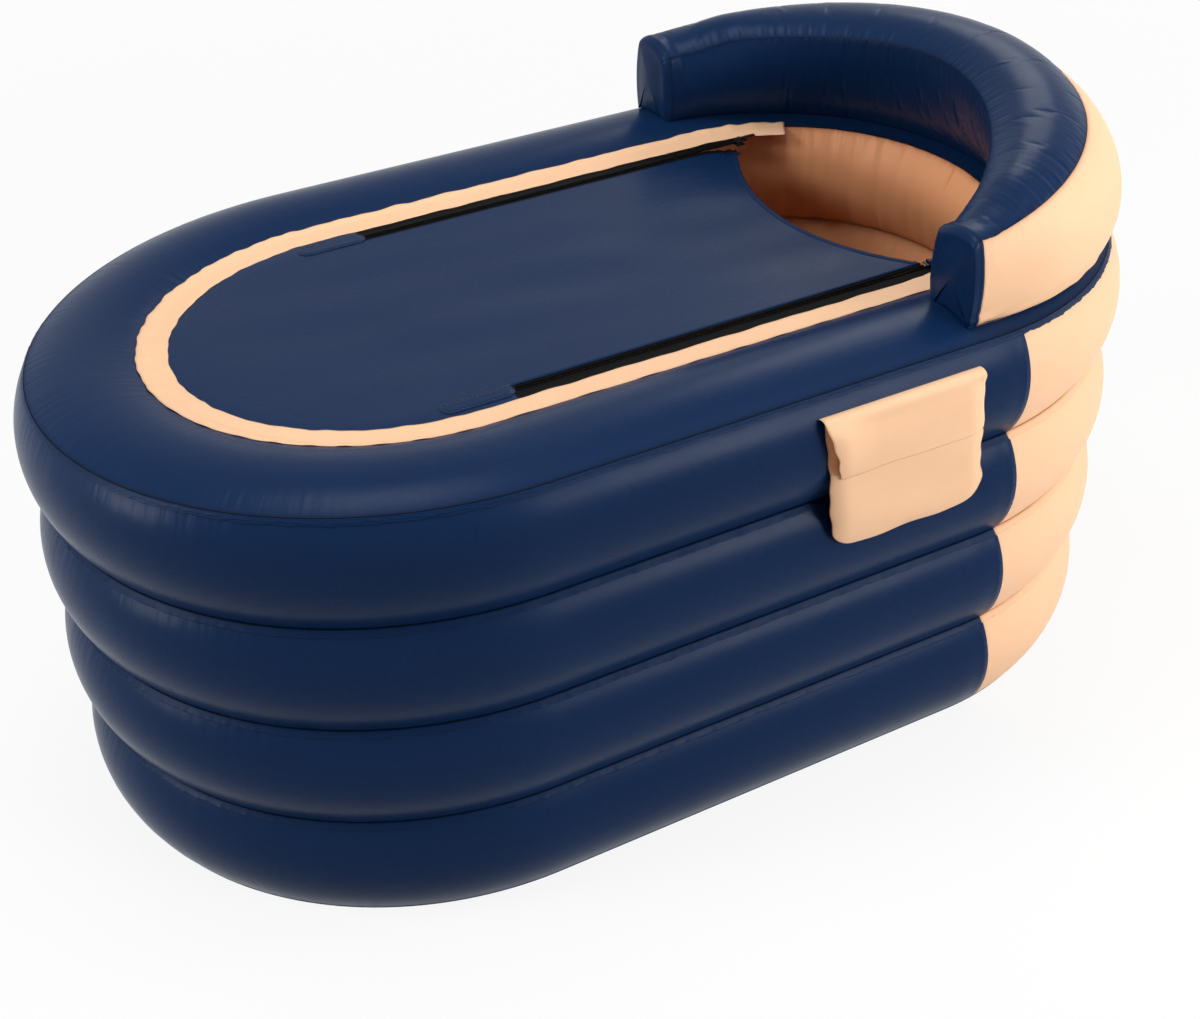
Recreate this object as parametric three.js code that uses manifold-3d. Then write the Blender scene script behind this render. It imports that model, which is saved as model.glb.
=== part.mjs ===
// Inflatable bathtub: four stacked air rings, an air cushion as backrest, a zipped cover and a side pocket.
// Millimetres, +Z up, +X towards the backrest, the pocket on the -Y side.
// The origin is under the middle of the base.
import * as THREE from 'three';
import { mergeVertices } from 'three/addons/utils/BufferGeometryUtils.js';
import Module from 'manifold-3d';

// Overall sizes
const tubLength = 1400;
const tubWidth = 840;
const overallHeight = 740;
const sideFittingDepth = 9; // how far the pocket and the screw caps stand proud of the wall

// Sheet material
const sheetThickness = 0.5;
const clothThickness = 0.6;
const gap = 0.3; // between pieces that touch

// Wall rings
const ringCount = 4;
const backrestHeight = 180; // from the rings' top to the top of the backrest
const ringBulge = 24;
const linerBulge = 22;
const wallDepth = 150; // from the wall's outermost line to the lining's seams
const ringSetbacks = [12, 5, 2, 0]; // lower rings are a little smaller
const footEndLength = 440;
const headEndLength = 398;
const colourSeamReach = 38; // the peach wall starts this far past the start of the head's curve
const rimSeamInset = 22;
const rimCrown = 17;
const baseThickness = 0.8;
const airHoleRadius = 15; // in the webs, so the rings fill together
const airHoleCount = 4;
const airHoleSpacing = 120;

// Backrest cushion
const armLength = 26; // the arms run on this far from the start of the head's curve
const backCrown = 26; // from the backrest's top seams to its highest point
const armCrown = 15;
const armSeamRise = 116; // from the rings' top to the arms' top seams
const backOuterFoot = 30; // insets of the cushion's seams, at the middle of the back and at the arms
const armOuterFoot = 40;
const backOuterSeam = 66;
const armOuterSeam = 44;
const backInnerFoot = 132;
const armInnerFoot = 117;
const backInnerSeam = 190;
const armInnerSeam = 104;
const backBulge = 32;
const armBulge = 10;
const backInnerBulge = 13;

// Cover
const stripWidth = 35;
const stripOverlap = 6;
const stripEndReach = 125; // the strip ends this far past the start of the head's curve
const zipClearance = 20; // from the strip's inner edge to the middle of a zip
const zipFootReach = 50; // the zips start this far past the foot's curve
const zipHeadReach = 36; // and end this far past the start of the head's curve
const foldReach = 60; // from the zips' foot ends to the line the flap folds on
const flapSetback = 8; // from the middle of a zip to the flap's edge
const neckDepth = 68;
const bindingWidth = 7;
const bindingThickness = 0.5;
const patchLength = 88;
const patchWidth = 24;
const frameZipTail = 20; // the frame side of each zip runs on past the flap's corner

// Zips
const zipRowWidth = 2.4;
const zipRowHeight = 2.8;
const zipRowGap = 2.2;
const zipTapeWidth = 21;
const flapTapeWidth = 17;
const zipStopLength = 4;
const sliderLength = 12;
const sliderWidth = 11;
const sliderPlate = 1.3;
const sliderPost = 1.4;
const sliderClearance = 0.4;
const pullLength = 24;
const pullWidth = 7;
const pullThickness = 1.4;
const pullPinRadius = 0.9;
const pullEyeRadius = 1.9;

// Pocket
const pouchWidth = 208;
const pouchHeadReach = 122; // from the start of the head's curve back to the pocket's middle
const pouchTopDrop = 17; // below the rings' top
const pouchDepth = 179;
const pouchCorner = 26;
const pouchFlapDrop = 79;
const pouchFlapOvershoot = 3;
const pouchWeldWidth = 8;
const pouchSideSlope = 24; // from the pocket's side to where it has its full room

// Air floor
const floorChannelHeight = 34;
const floorChannels = 6;
const floorInset = 182; // clear of the lining's bulge
const floorEdgeShare = 0.16;

// Valves and drain
const wallValveX = -60;
const valveFlangeRadius = 22;
const valveBoreRadius = 9;
const valveWall = 2.6;
const valveFlange = 1.2;
const valveDepth = 14;
const capWall = 1.6;
const capLobeDepth = 0.8;
const capLobes = 12;
const membraneThickness = 0.6;
const smallFlangeRadius = 9;
const smallBoreRadius = 3.2;
const smallWall = 1.3;
const smallStemHeight = 6;
const smallStemDepth = 5;
const stopperHeadRadius = 6;
const stopperHeadThickness = 1.6;
const stopperTaper = 0.35;
const floorValveX = 200;
const drainX = -200;
const drainBoreRadius = 11;
const drainWall = 2.4;
const drainFlangeRadius = 21;
const drainLip = 3;
const plugHead = 3;
const plugDepth = 10;
const plugTabHeight = 9;
const plugTabThickness = 2.4;

// How finely the forms are cut into facets
const stripHeadSteps = 5; // stations from the middle of the back to the strip's end
const wallHeadSteps = 2; // and from there to the colour seam
const footSteps = 14;
const ringSteps = 5;
const linerSteps = 3;
const rimSteps = 6;
const channelSteps = 4;
const floorRows = 15;
const neckSteps = 14;
const pouchCornerSteps = 4;
const lobeSteps = 4;
const roundSides = 20;
const smallSides = 12;
const patchEndSteps = 10;

// Worked out from the sizes above
const ringHalfWidth = tubWidth / 2 - sideFittingDepth;
const rimHeight = overallHeight - backrestHeight;
const ringHeight = rimHeight / ringCount;
const footCentre = footEndLength - tubLength / 2;
const headCentre = tubLength / 2 - headEndLength;
const degrees = Math.PI / 180;
const quarterTurn = 90;
const colourSeamAngle = Math.acos(colourSeamReach / headEndLength) / degrees;
const stripOuterInset = wallDepth - stripOverlap;
const stripEndAngle = Math.acos(stripEndReach / (headEndLength - wallDepth)) / degrees;
const stripInnerInset = stripOuterInset + stripWidth;
const backSeamHeight = overallHeight - backCrown;
const armSeamHeight = rimHeight + armSeamRise;
const zipAxisY = ringHalfWidth - stripInnerInset - zipClearance;
const zipFootX = footCentre + zipFootReach;
const zipHeadX = headCentre + zipHeadReach;
const foldX = zipFootX + foldReach;
const flapEdgeY = zipAxisY - flapSetback;
const pouchCentreX = headCentre - pouchHeadReach;
const pouchTop = rimHeight - pouchTopDrop;
const pouchBottom = pouchTop - pouchDepth;
const pouchFlapBottom = pouchTop - pouchFlapDrop;

const wasm = await Module();
wasm.setup();

const tub = new THREE.Group();

// Materials, one a kind of sheet or moulding
const standard = (color, roughness, metalness = 0) =>
  new THREE.MeshStandardMaterial({ color, roughness, metalness });
const navy = standard(0x2a3a63, 0.42);
const peach = standard(0xf6cba6, 0.5);
const black = standard(0x0c0c0b, 0.6);
const clearPlastic = standard(0xe6ebef, 0.3);

function add(name, geometry, material) {
  const mesh = new THREE.Mesh(geometry, material);
  mesh.name = name;
  tub.add(mesh);
  return mesh;
}

// Solids for joins and cuts

function toSolid(geometry) {
  const bare = new THREE.BufferGeometry();
  bare.setAttribute('position', geometry.getAttribute('position').clone());
  if (geometry.index) bare.setIndex(geometry.index.clone());
  const merged = mergeVertices(bare);
  return new wasm.Manifold(new wasm.Mesh({
    numProp: 3,
    vertProperties: merged.attributes.position.array,
    triVerts: new Uint32Array(merged.index.array),
  }));
}

function toGeometry(solid) {
  const mesh = solid.getMesh();
  const geometry = new THREE.BufferGeometry();
  geometry.setAttribute('position', new THREE.BufferAttribute(new Float32Array(mesh.vertProperties), 3));
  geometry.setIndex(new THREE.BufferAttribute(new Uint32Array(mesh.triVerts), 1));
  return geometry;
}

const join = (...parts) => toGeometry(parts.map(toSolid).reduce((whole, part) => whole.add(part)));
const cut = (body, ...tools) =>
  toGeometry(tools.map(toSolid).reduce((whole, tool) => whole.subtract(tool), toSolid(body)));
const overlapOf = (one, other) => toGeometry(toSolid(one).intersect(toSolid(other)));

// Shapes of bent sheets

const mix = (from, to, share) => from + (to - from) * share;

// Height of a circular arc over its chord, at a share of the chord
function arcRise(share, chord, rise) {
  const radius = (chord * chord / 4 + rise * rise) / (2 * rise);
  const along = chord * (share - 0.5);
  return Math.sqrt(radius * radius - along * along) - (radius - rise);
}

const shares = (steps) => Array.from({ length: steps + 1 }, (_, k) => k / steps);

// A closed body between two matching nets of points; a closed net joins its last row to its first
function slab(front, back, closed = false) {
  const rows = front.length;
  const columns = front[0].length;
  const spans = closed ? rows : rows - 1;
  const last = columns - 1;
  const index = [];
  const at = (side, u, v) => (side * rows + (u % rows)) * columns + v;
  const quad = (a, b, c, d) => index.push(a, b, c, a, c, d);
  for (let u = 0; u < spans; u += 1) {
    for (let v = 0; v < last; v += 1) {
      quad(at(0, u, v), at(0, u + 1, v), at(0, u + 1, v + 1), at(0, u, v + 1));
      quad(at(1, u, v), at(1, u, v + 1), at(1, u + 1, v + 1), at(1, u + 1, v));
    }
    quad(at(0, u + 1, 0), at(0, u, 0), at(1, u, 0), at(1, u + 1, 0));
    quad(at(0, u, last), at(0, u + 1, last), at(1, u + 1, last), at(1, u, last));
  }
  for (let v = 0; v < last && !closed; v += 1) {
    quad(at(0, 0, v), at(0, 0, v + 1), at(1, 0, v + 1), at(1, 0, v));
    quad(at(0, spans, v + 1), at(0, spans, v), at(1, spans, v), at(1, spans, v + 1));
  }
  return closedBody([...front.flat(), ...back.flat()], index);
}

// Turns the faces outwards where the nets ran the other way
function closedBody(points, index) {
  const corner = new THREE.Vector3();
  const next = new THREE.Vector3();
  const third = new THREE.Vector3();
  let volume = 0;
  for (let k = 0; k < index.length; k += 3) {
    corner.set(...points[index[k]]);
    next.set(...points[index[k + 1]]);
    third.set(...points[index[k + 2]]);
    volume += corner.dot(next.cross(third));
  }
  const faces = volume < 0 ? [...index].reverse() : index;
  const geometry = new THREE.BufferGeometry();
  geometry.setAttribute('position', new THREE.Float32BufferAttribute(points.flat(), 3));
  geometry.setIndex(faces);
  return geometry;
}

// A closed body between two copies of one flat outline, each carried to its place by a function
function plate(points, toFront, toBack) {
  const vectors = points.map(([u, v]) => new THREE.Vector2(u, v));
  const outline = THREE.ShapeUtils.isClockWise(vectors) ? [...points].reverse() : points;
  const contour = outline.map(([u, v]) => new THREE.Vector2(u, v));
  const count = contour.length;
  const index = [];
  for (const [a, b, c] of THREE.ShapeUtils.triangulateShape(contour, [])) {
    index.push(a, b, c);
    index.push(count + a, count + c, count + b);
  }
  for (let k = 0; k < count; k += 1) {
    const next = (k + 1) % count;
    index.push(next, k, count + k, next, count + k, count + next);
  }
  return closedBody([...outline.map(toFront), ...outline.map(toBack)], index);
}

// A flat sheet cut to a THREE.Shape, with its underside at a height
function flatSheet(shape, bottom, thickness) {
  const options = { depth: thickness, bevelEnabled: false, curveSegments: patchEndSteps };
  const geometry = new THREE.ExtrudeGeometry(shape, options);
  return geometry.translate(0, 0, bottom);
}

function box(xs, ys, zs) {
  const geometry = new THREE.BoxGeometry(xs[1] - xs[0], ys[1] - ys[0], zs[1] - zs[0]);
  return geometry.translate((xs[0] + xs[1]) / 2, (ys[0] + ys[1]) / 2, (zs[0] + zs[1]) / 2);
}

// The tub's outline, as stations that any inset can be taken from

const stationOf = (centre, reach, sense) => (angle) => ({
  centre,
  reach,
  sense,
  angle,
  cos: Math.cos(angle * degrees),
  sin: Math.sin(angle * degrees),
});
const headStation = stationOf(headCentre, headEndLength, 1);
const footStation = stationOf(footCentre, footEndLength, -1);

function place(station, inset) {
  const { centre, reach, sense, cos, sin } = station;
  return [centre + sense * (reach - inset) * cos, (ringHalfWidth - inset) * sin];
}

// The angles at which a sheet ends are stations of every sheet, so stacked sheets have the same facets
function headAngles() {
  const half = [
    ...shares(stripHeadSteps).map((share) => mix(0, stripEndAngle, share)),
    ...shares(wallHeadSteps).slice(1).map((share) => mix(stripEndAngle, colourSeamAngle, share)),
    quarterTurn,
  ];
  return [...half.slice(1).reverse().map((angle) => -angle), ...half];
}

const headArc = headAngles().map(headStation);
const footArc = shares(footSteps).map((share) => footStation(mix(quarterTurn, -quarterTurn, share)));
const wholeLoop = [...headArc, ...footArc];
const peachArc = headArc.filter((station) => Math.abs(station.angle) <= colourSeamAngle);
const navySeamAngle = colourSeamAngle + gap / headEndLength / degrees;
const navyLoop = [
  headStation(navySeamAngle),
  ...headArc.filter((station) => station.angle > navySeamAngle),
  ...footArc,
  ...headArc.filter((station) => station.angle < -navySeamAngle),
  headStation(-navySeamAngle),
];
const armEnd = (side) => ({ ...headStation(side * quarterTurn), centre: headCentre - armLength });
const armArc = [armEnd(-1), ...headArc, armEnd(1)];
const stripLoop = [
  ...headArc.filter((station) => station.angle >= stripEndAngle),
  ...footArc,
  ...headArc.filter((station) => station.angle <= -stripEndAngle),
];

// A net of points from a section, given as [inset, height] pairs at each station
const net = (stations, section) =>
  stations.map((station) => section(station).map(([inset, height]) => [...place(station, inset), height]));

// A thin sheet that follows a section; its second face lies inwards or upwards of the first
function sheet(stations, section, inwards, upwards, closed = false) {
  const moved = (station) => section(station).map(([inset, height]) => [inset + inwards, height + upwards]);
  return slab(net(stations, section), net(stations, moved), closed);
}

// A bulging section from one seam to the next; a positive rise bulges outwards,
// and its middle facet stands out by all of it
function bulge([lowInset, lowHeight], [highInset, highHeight], rise, steps) {
  const chord = Math.hypot(highInset - lowInset, highHeight - lowHeight);
  const middleRise = arcRise(Math.floor(steps / 2) / steps, chord, Math.abs(rise));
  return shares(steps).map((share) => [
    mix(lowInset, highInset, share) - rise * arcRise(share, chord, Math.abs(rise)) / middleRise,
    mix(lowHeight, highHeight, share),
  ]);
}

// Wall rings

const grooveInset = (level) => {
  if (level === ringCount) return rimSeamInset;
  const below = ringSetbacks[Math.max(level - 1, 0)];
  return (below + ringSetbacks[level]) / 2 + ringBulge;
};
const webFoot = sheetThickness / 2 + gap;
const bandBottom = (ring) => (ring === 0 ? baseThickness + gap : ring * ringHeight + webFoot);
const bandTop = (ring) => (ring + 1) * ringHeight - (ring === ringCount - 1 ? gap : webFoot);

function bandSection(ring) {
  const low = grooveInset(ring);
  const high = grooveInset(ring + 1);
  const facetSpread = Math.abs(high - low) / (2 * ringSteps);
  const rise = (low + high) / 2 - facetSpread - ringSetbacks[ring];
  return bulge([low, bandBottom(ring)], [high, bandTop(ring)], rise, ringSteps);
}

function linerSection(ring) {
  return bulge([wallDepth, bandBottom(ring)], [wallDepth, bandTop(ring)], -linerBulge, linerSteps);
}

// How far a band's outermost facet is from the tub's middle plane, along the straight sides
function facetY(section) {
  const middle = section.length / 2;
  return ringHalfWidth - Math.min(section[middle - 1][0], section[middle][0]);
}

const outerBand = (ring) => sheet(navyLoop, () => bandSection(ring), sheetThickness, 0);
const headBand = (ring) => sheet(peachArc, () => bandSection(ring), sheetThickness, 0);
const linerBand = (ring) => sheet(wholeLoop, () => linerSection(ring), sheetThickness, 0, true);

// A cylinder along Y for the holes that fittings need through the side wall
function sideHole(x, height, radius, fromY, toY) {
  const hole = new THREE.CylinderGeometry(radius, radius, toY - fromY, roundSides);
  return hole.translate(x, (fromY + toY) / 2, height);
}

function chamberWeb(level) {
  const outer = grooveInset(level);
  const bottom = level * ringHeight - sheetThickness / 2;
  const section = () => [[outer, bottom], [wallDepth, bottom]];
  const web = sheet(wholeLoop, section, 0, sheetThickness, true);
  const middleY = ringHalfWidth - (outer + wallDepth) / 2;
  const holes = [];
  for (const side of [-1, 1]) {
    for (let k = 0; k < airHoleCount / 2; k += 1) {
      const hole = new THREE.CylinderGeometry(airHoleRadius, airHoleRadius, ringHeight, smallSides);
      hole.rotateX(Math.PI / 2);
      const x = (k - (airHoleCount / 2 - 1) / 2) * airHoleSpacing;
      holes.push(hole.translate(x, side * middleY, level * ringHeight));
    }
  }
  return cut(web, ...holes);
}

function baseSheet() {
  const outline = wholeLoop.map((station) => place(station, grooveInset(0)));
  return plate(outline, ([x, y]) => [x, y, 0], ([x, y]) => [x, y, baseThickness]);
}

// Rim

const rimSpan = wallDepth - rimSeamInset;
const rimRise = (inset) => arcRise((inset - rimSeamInset) / rimSpan, rimSpan, rimCrown);
const rimTop = (inset) => rimHeight + sheetThickness + rimRise(inset);
const rimRadius = (rimSpan * rimSpan / 4 + rimCrown * rimCrown) / (2 * rimCrown);

function rimTopSheet() {
  const section = () => shares(rimSteps).map((share) => {
    const height = rimHeight + arcRise(share, rimSpan, rimCrown);
    return [mix(rimSeamInset, wallDepth, share), height];
  });
  return sheet(wholeLoop, section, 0, sheetThickness, true);
}

// Backrest: every size runs from the arms to the middle of the back

function backrestAt(station) {
  const atArm = Math.abs(station.angle / quarterTurn) ** 3;
  const atBack = station.cos;
  const outerFoot = mix(backOuterFoot, armOuterFoot, atArm);
  const innerFoot = mix(backInnerFoot, armInnerFoot, atArm);
  return {
    outerFoot,
    innerFoot,
    outerSeam: mix(backOuterSeam, armOuterSeam, atArm),
    innerSeam: mix(backInnerSeam, armInnerSeam, atArm),
    seamHeight: mix(armSeamHeight, backSeamHeight, atBack),
    outerFootHeight: rimTop(outerFoot + sheetThickness) + gap,
    innerFootHeight: Math.max(rimTop(innerFoot), rimTop(innerFoot - sheetThickness)) + gap,
    bulge: mix(backBulge, armBulge, atArm),
    crown: mix(armCrown, backCrown - gap - sheetThickness, atBack),
  };
}

const backSteps = 5;
const backTopSteps = 6;
const backBaseSteps = 3;

function outerPanelSection(station) {
  const back = backrestAt(station);
  const foot = [back.outerFoot, back.outerFootHeight];
  return bulge(foot, [back.outerSeam, back.seamHeight], back.bulge, backSteps);
}

function innerPanelSection(station) {
  const back = backrestAt(station);
  const foot = [back.innerFoot, back.innerFootHeight];
  return bulge(foot, [back.innerSeam, back.seamHeight], -backInnerBulge, backSteps);
}

function topPanelSection(station) {
  const back = backrestAt(station);
  const width = back.innerSeam - back.outerSeam;
  return shares(backTopSteps).map((share) => [
    mix(back.outerSeam, back.innerSeam, share),
    back.seamHeight + gap + arcRise(share, width, back.crown),
  ]);
}

function basePanelSection(station) {
  const back = backrestAt(station);
  const clear = sheetThickness + gap;
  const facetSag = (rimSpan / backBaseSteps) ** 2 / (8 * rimRadius); // so its facets clear the rim's dome
  return shares(backBaseSteps).map((share) => {
    const inset = mix(back.outerFoot + clear, back.innerFoot - clear, share);
    return [inset, rimTop(inset) + facetSag + gap];
  });
}

// The flat end of an arm: the cushion's whole section, just outside the last station
function armEndPanel(station) {
  const sections = [outerPanelSection, topPanelSection, innerPanelSection, basePanelSection];
  const [outer, top, inner, base] = sections.map((section) => section(station));
  const outline = [...outer, ...top.slice(1, -1), ...inner.reverse(), ...base.slice(1, -1).reverse()];
  const at = (distance) => ([inset, height]) => {
    const [x, y] = place(station, inset);
    return [x - distance, y, height];
  };
  return plate(outline, at(gap), at(gap + sheetThickness));
}

// Cover

const coverTop = rimHeight + sheetThickness;
const stripBottom = coverTop + gap;
const panelTop = stripBottom - gap;
const panelBottom = panelTop - clothThickness;
const tapeBottom = panelBottom - gap - clothThickness;
const panelInset = stripInnerInset - stripOverlap;
const rowInner = zipAxisY - zipRowGap / 2;
const rowOuter = zipAxisY + zipRowGap / 2;

function coverEdgeStrip() {
  const section = () => [
    [stripOuterInset, rimTop(stripOuterInset) + gap],
    [wallDepth, stripBottom],
    [stripInnerInset, stripBottom],
  ];
  return sheet(stripLoop, section, 0, sheetThickness);
}

function footCoverPanel() {
  const edge = footArc.map((station) => place(station, panelInset));
  const shoulderX = zipFootX - zipStopLength - gap;
  const tongueX = foldX - gap / 2;
  const outline = [
    ...edge,
    [shoulderX, -(ringHalfWidth - panelInset)],
    [shoulderX, -flapEdgeY],
    [tongueX, -flapEdgeY],
    [tongueX, flapEdgeY],
    [shoulderX, flapEdgeY],
    [shoulderX, ringHalfWidth - panelInset],
  ];
  return plate(outline, ([x, y]) => [x, y, panelBottom], ([x, y]) => [x, y, panelTop]);
}

// The neck cut is an arc between the flap's two head corners
const neckHalf = flapEdgeY - gap;
const neckRadius = (neckHalf * neckHalf + neckDepth * neckDepth) / (2 * neckDepth);
const neckCentreX = zipHeadX - neckDepth + neckRadius;
const neckAngle = Math.asin(neckHalf / neckRadius);
const neckArc = (radius) => shares(neckSteps).map((share) => {
  const angle = Math.PI + mix(neckAngle, -neckAngle, share);
  return [neckCentreX + radius * Math.cos(angle), radius * Math.sin(angle)];
});

function coverFlap() {
  const outline = [[foldX + gap / 2, flapEdgeY], [foldX + gap / 2, -flapEdgeY], ...neckArc(neckRadius)];
  return plate(outline, ([x, y]) => [x, y, panelBottom], ([x, y]) => [x, y, panelTop]);
}

function neckBinding() {
  const outer = neckArc(neckRadius);
  const inner = neckArc(neckRadius + bindingWidth);
  const bottom = panelTop + gap;
  const rows = (height) => outer.map((point, k) => [[...point, height], [...inner[k], height]]);
  return slab(rows(bottom), rows(bottom + bindingThickness));
}

// One zip is a tape with a raised row of teeth on its edge; side is -1 on the near zip and 1 on the far one
const tapeHeights = [tapeBottom, tapeBottom + clothThickness];
const rowHeights = [tapeBottom, tapeBottom + clothThickness + zipRowHeight];
const acrossZip = (side, near, far) => (side > 0 ? [near, far] : [-far, -near]);

function zipFrameTape(side) {
  const length = [zipFootX, zipHeadX + frameZipTail];
  const stubLength = [zipFootX, foldX - gap / 2];
  const stopReach = [zipFootX - zipStopLength, zipFootX];
  const tape = box(length, acrossZip(side, rowOuter, rowOuter + zipTapeWidth), tapeHeights);
  const row = box(length, acrossZip(side, rowOuter, rowOuter + zipRowWidth), rowHeights);
  const stopYs = acrossZip(side, rowInner - flapTapeWidth, rowOuter + zipTapeWidth);
  const stop = box(stopReach, stopYs, tapeHeights);
  const stubTape = box(stubLength, acrossZip(side, rowInner - flapTapeWidth, rowInner), tapeHeights);
  const stubRow = box(stubLength, acrossZip(side, rowInner - zipRowWidth, rowInner), rowHeights);
  return join(tape, row, stop, stubTape, stubRow);
}

function zipFlapTape(side) {
  const length = [foldX + gap / 2, zipHeadX];
  const tape = box(length, acrossZip(side, rowInner - flapTapeWidth, rowInner), tapeHeights);
  const row = box(length, acrossZip(side, rowInner - zipRowWidth, rowInner), rowHeights);
  return join(tape, row);
}

const sliderX = zipHeadX + sliderClearance + sliderLength / 2;
const sliderTopBottom = tapeBottom + clothThickness + zipRowHeight + sliderClearance;
const pullPinHeight = sliderTopBottom + sliderPlate + pullEyeRadius + sliderClearance;

// Two plates above and below the tapes, joined by a post that runs between the rows of teeth
function zipSlider(side) {
  const y = side * zipAxisY;
  const xs = [sliderX - sliderLength / 2, sliderX + sliderLength / 2];
  const ys = [y - sliderWidth / 2, y + sliderWidth / 2];
  const lowTop = tapeBottom - sliderClearance;
  const top = box(xs, ys, [sliderTopBottom, sliderTopBottom + sliderPlate]);
  const bottom = box(xs, ys, [lowTop - sliderPlate, lowTop]);
  const post = box(
    [sliderX - sliderLength / 4, sliderX + sliderLength / 4],
    [y - sliderPost / 2, y + sliderPost / 2],
    [lowTop - sliderPlate / 2, sliderTopBottom + sliderPlate / 2],
  );
  const pin = new THREE.CylinderGeometry(pullPinRadius, pullPinRadius, pullWidth, roundSides);
  pin.translate(sliderX, y, pullPinHeight);
  const ears = [-1, 1].map((end) => {
    const inner = y + end * pullWidth / 2;
    return box(
      [sliderX - pullEyeRadius, sliderX + pullEyeRadius],
      [inner - sliderPlate / 2, inner + sliderPlate / 2],
      [sliderTopBottom + sliderPlate / 2, pullPinHeight + pullPinRadius],
    );
  });
  return join(top, bottom, post, pin, ...ears);
}

// A pull tab with an eye round the slider's pin
function zipPull(side) {
  const y = side * zipAxisY;
  const halfEye = (pullWidth - sliderPlate) / 2 - gap;
  const eye = new THREE.CylinderGeometry(pullEyeRadius, pullEyeRadius, 2 * halfEye, roundSides);
  eye.translate(sliderX, y, pullPinHeight);
  const tab = box(
    [sliderX + pullPinRadius + gap, sliderX + pullLength],
    [y - halfEye, y + halfEye],
    [pullPinHeight - pullThickness / 2, pullPinHeight + pullThickness / 2],
  );
  const bore = new THREE.CylinderGeometry(
    pullPinRadius + gap / 2, pullPinRadius + gap / 2, pullWidth, roundSides,
  );
  bore.translate(sliderX, y, pullPinHeight);
  return cut(join(eye, tab), bore);
}

function zipPatch(side) {
  const centreX = zipFootX - gap - patchLength / 2;
  const centreY = side * zipAxisY;
  const radius = patchWidth / 2;
  const straight = patchLength / 2 - radius;
  const shape = new THREE.Shape();
  shape.absarc(straight, 0, radius, -Math.PI / 2, Math.PI / 2);
  shape.absarc(-straight, 0, radius, Math.PI / 2, Math.PI * 3 / 2);
  return flatSheet(shape, panelTop + gap, clothThickness).translate(centreX, centreY, 0);
}

// Pocket on the near wall

const topRing = ringCount - 1;
const wallLine = bandSection(topRing);
const wallShoulder = wallLine[(ringSteps + 1) / 2][1]; // top of the ring's upright middle facet
const wallInset = (height) => {
  const above = wallLine.findIndex(([, lineHeight]) => lineHeight >= height);
  const [lowInset, lowHeight] = wallLine[above - 1];
  const [highInset, highHeight] = wallLine[above];
  return mix(lowInset, highInset, (height - lowHeight) / (highHeight - lowHeight));
};

// The pouch hugs the wall above the top ring's middle and hangs straight below it
const pouchBackY = (height) =>
  (height > wallShoulder ? wallInset(height) - ringHalfWidth : -facetY(wallLine)) - gap;

function pouchHalfWidth(height) {
  const intoCorner = pouchBottom + pouchCorner - height;
  const trim = intoCorner > 0 ? pouchCorner - Math.sqrt(pouchCorner ** 2 - intoCorner ** 2) : 0;
  return pouchWidth / 2 - trim;
}

const pouchHeights = (top) => {
  const corner = shares(pouchCornerSteps).map((share) =>
    pouchBottom + pouchCorner * (1 - Math.cos(share * Math.PI / 2)));
  const middle = (pouchBottom + pouchCorner + wallShoulder) / 2;
  const bends = wallLine.map(([, height]) => height);
  return [...corner, middle, ...bends.filter((height) => height >= wallShoulder && height < top), top];
};

// Columns across the pocket: its edges, the welds, the ends of its room, and between them
const pouchWeldShare = 1 - pouchWeldWidth / (pouchWidth / 2);
const pouchRoomShare = 1 - pouchSideSlope / (pouchWidth / 2);
const pouchHalfColumns = [pouchRoomShare / 2, pouchRoomShare, pouchWeldShare, 1];
const pouchColumns = [...pouchHalfColumns.map((share) => -share).reverse(), 0, ...pouchHalfColumns];

// A net of points on a panel of the pocket, with y given at each height and share across
const pouchNet = (heights, y) => heights.map((height) =>
  pouchColumns.map((share) => [pouchCentreX + share * pouchHalfWidth(height), y(height, share), height]));

function pouchBackPanel() {
  const heights = pouchHeights(pouchTop);
  const face = pouchNet(heights, (height) => pouchBackY(height) - clothThickness);
  return slab(face, pouchNet(heights, pouchBackY));
}

const pouchRoom = sideFittingDepth - 3 * clothThickness - 4 * gap;
const pouchFrontTop = pouchTop - pouchWeldWidth;
const pouchFaceY = -facetY(wallLine) - clothThickness - 2 * gap - pouchRoom;

// The front panel lies on the back one at its welded edges and stands off it in between
function pouchFrontY(height, share) {
  const inRoom = Math.abs(share) <= pouchRoomShare;
  const upwards = Math.min(1, (height - pouchBottom) / pouchCorner);
  return mix(pouchBackY(height) - clothThickness - gap, pouchFaceY, inRoom ? upwards : 0);
}

function pouchFrontPanel() {
  const heights = pouchHeights(pouchFrontTop);
  const face = pouchNet(heights, (height, share) => pouchFrontY(height, share) - clothThickness);
  return slab(face, pouchNet(heights, pouchFrontY));
}

const pouchHingeHeight = pouchTop + gap;
const pouchHingeY = pouchBackY(pouchTop);
const pouchFlapY = clothThickness - tubWidth / 2;
const pouchFlapBendShares = [0.25, 0.75]; // of the way from the mouth down to the front panel's edge
const pouchFlapShares = [-1, -0.5, 0, 0.5, 1]; // of the half width

// The flap folds over the pocket's mouth and hangs in front of it
function pouchFlap() {
  const halfWidth = pouchWidth / 2 + pouchFlapOvershoot;
  const shoulder = pouchFlapY + 2 * clothThickness;
  const [bendStart, bendEnd] = pouchFlapBendShares.map((share) => mix(pouchTop, pouchFrontTop, share));
  const section = [
    [pouchHingeY, pouchHingeHeight],
    [(pouchHingeY + shoulder) / 2, pouchHingeHeight + gap],
    [shoulder, bendStart],
    [pouchFlapY, bendEnd],
    [pouchFlapY, (pouchTop + pouchFlapBottom) / 2],
    [pouchFlapY, pouchFlapBottom],
  ];
  const rows = (shift) => section.map(([y, height]) =>
    pouchFlapShares.map((share) => [pouchCentreX + share * halfWidth, y - shift, height + shift]));
  return slab(rows(0), rows(clothThickness));
}

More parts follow.
